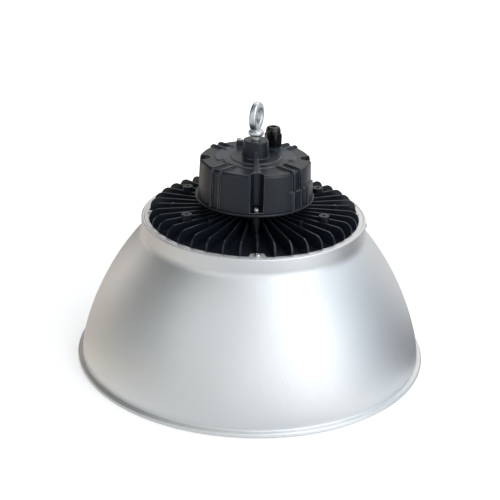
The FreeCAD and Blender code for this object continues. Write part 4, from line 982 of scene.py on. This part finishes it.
FINISHES = (
    Finish("spun_aluminium", (0.80, 0.80, 0.79), (0.77, 0.78, 0.785), (0.46, 0.56), 1.0, 0.12, 0.0011, 0.16),
    Finish(
        "black_casting",
        (0.0065, 0.0095, 0.0145),
        (0.009, 0.0128, 0.019),
        (0.28, 0.38),
        grain_size=0.0005,
        dust=0.01,
        specular=0.42,
        # painted highlight on the rounded edges
        edge=(0.085, 0.09, 0.10),
        # painted reflection on the roof's flat half ring
        slab=(0.032, 0.046, 0.060),
    ),
    Finish("zinc_plate", (0.70, 0.74, 0.76), (0.64, 0.67, 0.68), (0.34, 0.44), 1.0, 0.006, 0.0008, 0.04),
    Finish("stainless", (0.66, 0.64, 0.60), (0.56, 0.55, 0.53), (0.24, 0.36), 1.0, 0.004, 0.0003, 0.05),
    Finish("black_steel", (0.02, 0.02, 0.02), (0.035, 0.033, 0.03), (0.35, 0.5), 0.6, 0.01, 0.0004, 0.08),
    Finish("black_nylon", (0.004, 0.004, 0.005), (0.006, 0.0065, 0.008), (0.09, 0.15), 0, 0.04, 4e-4, 0.015),
    Finish("black_rubber", (0.015, 0.015, 0.015), (0.025, 0.025, 0.025), (0.6, 0.75), 0, 0.04, 0.0004),
    Finish("grey_silicone", (0.30, 0.31, 0.32), (0.36, 0.37, 0.38), (0.5, 0.65), 0, 0.04, 0.0005, 0.06),
    ClearFinish("clear_plate", (0.97, 0.98, 0.98), (0.95, 0.97, 0.97), (0.04, 0.10), 0, 0.04, 0.0008, 0.02),
    Finish("white_board", (0.80, 0.81, 0.80), (0.74, 0.76, 0.76), (0.35, 0.45), 0, 0.03, grain_depth=0.03),
    Finish("phosphor", (0.83, 0.68, 0.16), (0.78, 0.60, 0.12), (0.35, 0.5), 0, 0.003, 0.0002),
    Finish("green_board", (0.02, 0.16, 0.06), (0.03, 0.21, 0.09), (0.3, 0.4), 0, 0.008, grain_depth=0.04),
    Finish("ferrite", (0.05, 0.05, 0.055), (0.08, 0.078, 0.075), (0.55, 0.7), 0, 0.004),
    Finish("yellow_tape", (0.72, 0.50, 0.05), (0.78, 0.58, 0.10), (0.3, 0.4), 0, 0.004, grain_depth=0.05),
    Finish("can_sleeve", (0.02, 0.03, 0.09), (0.03, 0.04, 0.12), (0.25, 0.35), 0, 0.004),
    Finish("copper_wire", (0.72, 0.33, 0.14), (0.60, 0.25, 0.10), (0.25, 0.4), 1.0, 0.003, 0.0004, 0.3),
    Finish("film_case", (0.55, 0.12, 0.05), (0.62, 0.16, 0.07), (0.35, 0.45), 0, 0.004),
    Finish("terminal_green", (0.05, 0.36, 0.14), (0.07, 0.42, 0.18), (0.35, 0.45), 0, 0.004),
    Finish("white_plastic", (0.78, 0.78, 0.74), (0.72, 0.72, 0.68), (0.4, 0.5), 0, 0.006),
    Finish("lead_sheath", (0.70, 0.70, 0.68), (0.62, 0.62, 0.60), (0.45, 0.55), 0, 0.01),
)


def dress_nodes(frame: dict, materials: dict[str, Material]) -> None:
    """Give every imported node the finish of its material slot."""
    for node in frame["nodes"].values():
        slot = node.material_slots[0]
        slot.material = materials[slot.material.name]


# Studio


@dataclass
class Lamp:
    """A soft rectangular lamp that faces the light's middle.

    Attributes:
        name: Its name.
        azimuth: Its direction from +X, in degrees.
        elevation: Its height above the horizon, in degrees.
        distance: How far away it stands, in metres.
        width: Its width in metres.
        height: Its height in metres.
        power: Its power in watts.
        colour: The colour of its light.
    """

    name: str
    azimuth: float
    elevation: float
    distance: float
    width: float
    height: float
    power: float
    colour: Colour = (1.0, 1.0, 1.0)

    def build(self, target: Vector) -> None:
        """Add the lamp, facing the target."""
        data = bpy.data.lights.new(self.name, "AREA")
        data.shape = "RECTANGLE"
        data.size, data.size_y = self.width, self.height
        data.energy = self.power
        data.color = self.colour
        lamp = linked(self.name, data)
        away = direction(self.azimuth, self.elevation)
        lamp.location = target + away * self.distance
        lamp.rotation_euler = (-away).to_track_quat("-Z", "Y").to_euler()


def direction(azimuth: float, elevation: float) -> Vector:
    """Return the unit vector at an azimuth from +X and an elevation, in degrees."""
    a, e = math.radians(azimuth), math.radians(elevation)
    return Vector((math.cos(a) * math.cos(e), math.sin(a) * math.cos(e), math.sin(e)))


LAMPS = (
    Lamp("key_lamp", -48, 22, 2.2, 1.5, 1.8, 13, (0.95, 0.98, 1.0)),
    Lamp("front_lamp", -88, 12, 2.6, 1.2, 1.0, 2.5, (0.90, 0.96, 1.0)),
    Lamp("top_lamp", -30, 64, 2.0, 0.8, 0.6, 7, (0.92, 0.96, 1.0)),
    Lamp("left_lamp", -139, 28, 2.4, 0.6, 1.3, 2.8, (0.95, 0.98, 1.0)),
    Lamp("back_lamp", 80, 50, 2.4, 1.8, 1.0, 8, (1.0, 0.98, 0.96)),
    Lamp("edge_lamp", 144, 10, 2.0, 0.35, 0.8, 1.3, (1.0, 0.94, 0.88)),
    Lamp("blue_lamp", 8, 36, 2.2, 0.5, 0.5, 2.0, (0.66, 0.80, 1.0)),
    Lamp("spark_lamp", -62, 42, 2.2, 0.16, 0.16, 0.9, (0.95, 0.98, 1.0)),
)


@dataclass
class Studio:
    """The floor, the white surroundings, the lamps and the camera.

    The tones go round the light, with their place from 0 straight behind it by the left (0.25)
    and the front (0.5) to the right (0.75) and 1 behind again. Only metal and gloss show them.

    Attributes:
        target: The point that the camera and the lamps face.
        view_azimuth: The camera's direction from +X, in degrees.
        view_elevation: Its height above the horizon, in degrees.
        view_roll: Its turn about its line of sight, in degrees.
        view_distance: Its distance from the target, in metres.
        lens: Its focal length in millimetres.
        shift: The lens shift, to the side and up.
        floor_radius: The floor's radius in metres.
        floor_tone: The floor's own tone.
        floor_glow: What is added to it for the camera, near the light and far off.
        glow_reach: Between which distances that changes, in metres.
        floor_shine: The floor's strength in reflections, near the light and farther off.
        shine_reach: Between which distances that changes, in metres.
        sky_strength: The strength of the surroundings' light.
        sky_shade: How much darker they are high up at the left.
        shade_rise: Between which heights, of a direction of length 1, that sets in.
        shade_turn: Between which places it sets in.
        floor_tones: The floor's reflected tones, each with its place.
        sky_tones: The surroundings' tones, each with its place.
    """

    target: Vector
    view_azimuth: float = -92.6
    view_elevation: float = 23.19
    view_roll: float = 1.69
    view_distance: float = 1.6027
    lens: float = 90.46
    shift: tuple[float, float] = (-0.0058, -0.0132)
    floor_radius: float = 12.0
    floor_tone: float = 0.8
    floor_glow: tuple[float, float] = (0.45, 1.0)
    glow_reach: tuple[float, float] = (0.3, 1.1)
    floor_shine: tuple[float, float] = (1.0, 0.88)
    shine_reach: tuple[float, float] = (0.27, 0.38)
    sky_strength: float = 0.8
    sky_shade: float = 0.95
    shade_rise: tuple[float, float] = (0.22, 0.55)
    shade_turn: tuple[float, float] = (0.33, 0.27)
    floor_tones: tuple[Stop, ...] = (
        (0.0, (0.60, 0.58, 0.56)), (0.06, (0.36, 0.34, 0.32)),
        (0.13, (0.88, 0.79, 0.70)), (0.20, (0.60, 0.54, 0.48)),
        (0.28, (0.86, 0.80, 0.74)), (0.36, (0.84, 0.85, 0.84)),
        (0.45, (0.68, 0.70, 0.73)), (0.55, (0.74, 0.76, 0.80)),
        (0.62, (0.95, 0.98, 1.0)), (0.68, (0.85, 0.90, 0.95)),
        (0.74, (0.12, 0.11, 0.11)), (0.78, (0.10, 0.10, 0.10)),
        (0.86, (0.88, 0.87, 0.88)), (1.0, (0.60, 0.58, 0.56)),
    )
    sky_tones: tuple[Stop, ...] = (
        (0.0, (0.90, 0.88, 0.87)), (0.07, (0.20, 0.19, 0.18)),
        (0.13, (0.85, 0.80, 0.76)), (0.20, (0.18, 0.21, 0.22)),
        (0.31, (0.44, 0.48, 0.48)), (0.39, (0.72, 0.76, 0.77)),
        (0.46, (0.88, 0.92, 0.97)), (0.60, (0.92, 0.97, 1.0)),
        (0.72, (0.74, 0.84, 0.96)), (0.79, (0.30, 0.34, 0.40)),
        (0.86, (0.98, 1.0, 1.0)), (1.0, (0.90, 0.88, 0.87)),
    )

    def build(self) -> None:
        """Make the whole studio."""
        self.camera()
        self.floor()
        self.surroundings()
        for lamp in LAMPS:
            lamp.build(self.target)
        bpy.context.scene.view_settings.view_transform = "Standard"

    def camera(self) -> None:
        """Stand the camera at the viewing angle, rolled right side up about its line of sight."""
        data = bpy.data.cameras.new("camera")
        data.lens = self.lens
        data.shift_x, data.shift_y = self.shift
        back = direction(self.view_azimuth, self.view_elevation)
        right = Vector((0, 0, 1)).cross(back).normalized()
        up = back.cross(right)
        roll = math.radians(self.view_roll)
        side = right * math.cos(roll) + up * math.sin(roll)
        top = up * math.cos(roll) - right * math.sin(roll)
        turn = Matrix((side, top, back)).transposed().to_4x4()
        camera = linked("camera", data)
        camera.matrix_world = Matrix.Translation(self.target + back * self.view_distance) @ turn
        bpy.context.scene.camera = camera

    def floor(self) -> None:
        """Lay a pale round floor just under the rim. From below it lets the view through."""
        ring = np.array([[0.0, -MM], [self.floor_radius, -MM]])
        floor = mesh_object("studio_floor", [lathe(ring, 96)])
        floor.data.flip_normals()
        material = bpy.data.materials.new("studio_floor_finish")
        graph = Graph.empty(material)
        path = graph.add("ShaderNodeLightPath")
        below = graph.add("ShaderNodeNewGeometry").outputs["Backfacing"]
        parts = graph.parts()
        reach = Effects.reach(graph, parts)
        level = graph.spread(reach, *self.glow_reach, *self.floor_glow)
        matt = graph.add("ShaderNodeBsdfDiffuse", {"Color": (*[self.floor_tone] * 3, 1.0)})
        strength = graph.math("MULTIPLY", self.seen(graph, path), level)
        glow = graph.add("ShaderNodeEmission", {"Strength": strength})
        lit = graph.add("ShaderNodeAddShader", {0: matt.outputs[0], 1: glow.outputs[0]})
        gloss = graph.spread(reach, *self.shine_reach, *self.floor_shine)
        tone = self.ramp(graph, self.around(graph, parts), self.floor_tones)
        shine = graph.add("ShaderNodeEmission", {"Color": tone, "Strength": gloss})
        glossy = path.outputs["Is Glossy Ray"]
        both = graph.add("ShaderNodeMixShader", {0: glossy, 1: lit.outputs[0], 2: shine.outputs[0]})
        clear = graph.add("ShaderNodeBsdfTransparent")
        whole = graph.add("ShaderNodeMixShader", {0: below, 1: both.outputs[0], 2: clear.outputs[0]})
        graph.add("ShaderNodeOutputMaterial", {"Surface": whole.outputs[0]})
        floor.data.materials.append(material)

    def surroundings(self) -> None:
        """Surround the light with white that dims softly towards both sides, as a lit studio does."""
        world = bpy.data.worlds.new("studio_world")
        graph = Graph.empty(world)
        parts = graph.parts(graph.add("ShaderNodeTexCoord").outputs["Generated"])
        around = self.around(graph, parts)
        tone = self.ramp(graph, around, self.sky_tones)
        above = graph.spread(parts.outputs[2], *self.shade_rise, smooth=True)
        left = graph.spread(around, *self.shade_turn)
        shade = graph.math("MULTIPLY", graph.math("MULTIPLY", above, left), self.sky_shade)
        strength = graph.math("MULTIPLY", graph.math("SUBTRACT", 1.0, shade), self.sky_strength)
        soft = graph.add("ShaderNodeBackground", {"Color": tone, "Strength": strength})
        white = graph.add("ShaderNodeBackground", {"Color": (1.0, 1.0, 1.0, 1.0), "Strength": 1.0})
        seen = self.seen(graph, graph.add("ShaderNodeLightPath"))
        whole = graph.add("ShaderNodeMixShader", {0: seen, 1: soft.outputs[0], 2: white.outputs[0]})
        graph.add("ShaderNodeOutputWorld", {"Surface": whole.outputs[0]})
        bpy.context.scene.world = world

    @staticmethod
    def seen(graph: Graph, path: Node) -> Socket:
        """Return 1 where the camera looks, straight or through the clear plate."""
        return graph.math("MAXIMUM", path.outputs["Is Camera Ray"], path.outputs["Is Transmission Ray"])

    @staticmethod
    def around(graph: Graph, parts: Node) -> Socket:
        """Return the place round the light, 0 straight behind, 0.5 in front and 1 behind again."""
        back = graph.math("MULTIPLY", parts.outputs[1], -1.0)
        share = graph.math("DIVIDE", graph.math("ARCTAN2", parts.outputs[0], back), 2 * math.pi)
        return graph.math("ADD", share, 0.5)

    @staticmethod
    def ramp(graph: Graph, place: Socket, stops: Sequence[Stop]) -> Socket:
        """Return the tone at a place between softly joined stops."""
        node = graph.add("ShaderNodeValToRGB", {0: place})
        ramp = node.color_ramp
        ramp.interpolation = "EASE"
        while len(ramp.elements) < len(stops):
            ramp.elements.new(0.5)
        for element, (position, colour) in zip(ramp.elements, stops):
            element.position = position
            element.color = (*colour, 1.0)
        return node.outputs[0]


def main() -> None:
    """Load the frame, dress every piece, and build the studio."""
    logging.basicConfig(level=logging.INFO, format="%(name)s: %(message)s")
    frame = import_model()
    materials = {finish.slot: finish.build() for finish in FINISHES}
    dress_nodes(frame, materials)
    SpunReflector().build(materials["spun_aluminium"])
    ForgedEyeBolt().build(materials["zinc_plate"])
    Castings().build(frame, materials)
    GlandCap().build(materials["black_nylon"])
    Fasteners().build(materials)
    Studio(target=Vector((0.0, 0.0, AIM_HEIGHT))).build()


if __name__ == "__main__":
    main()
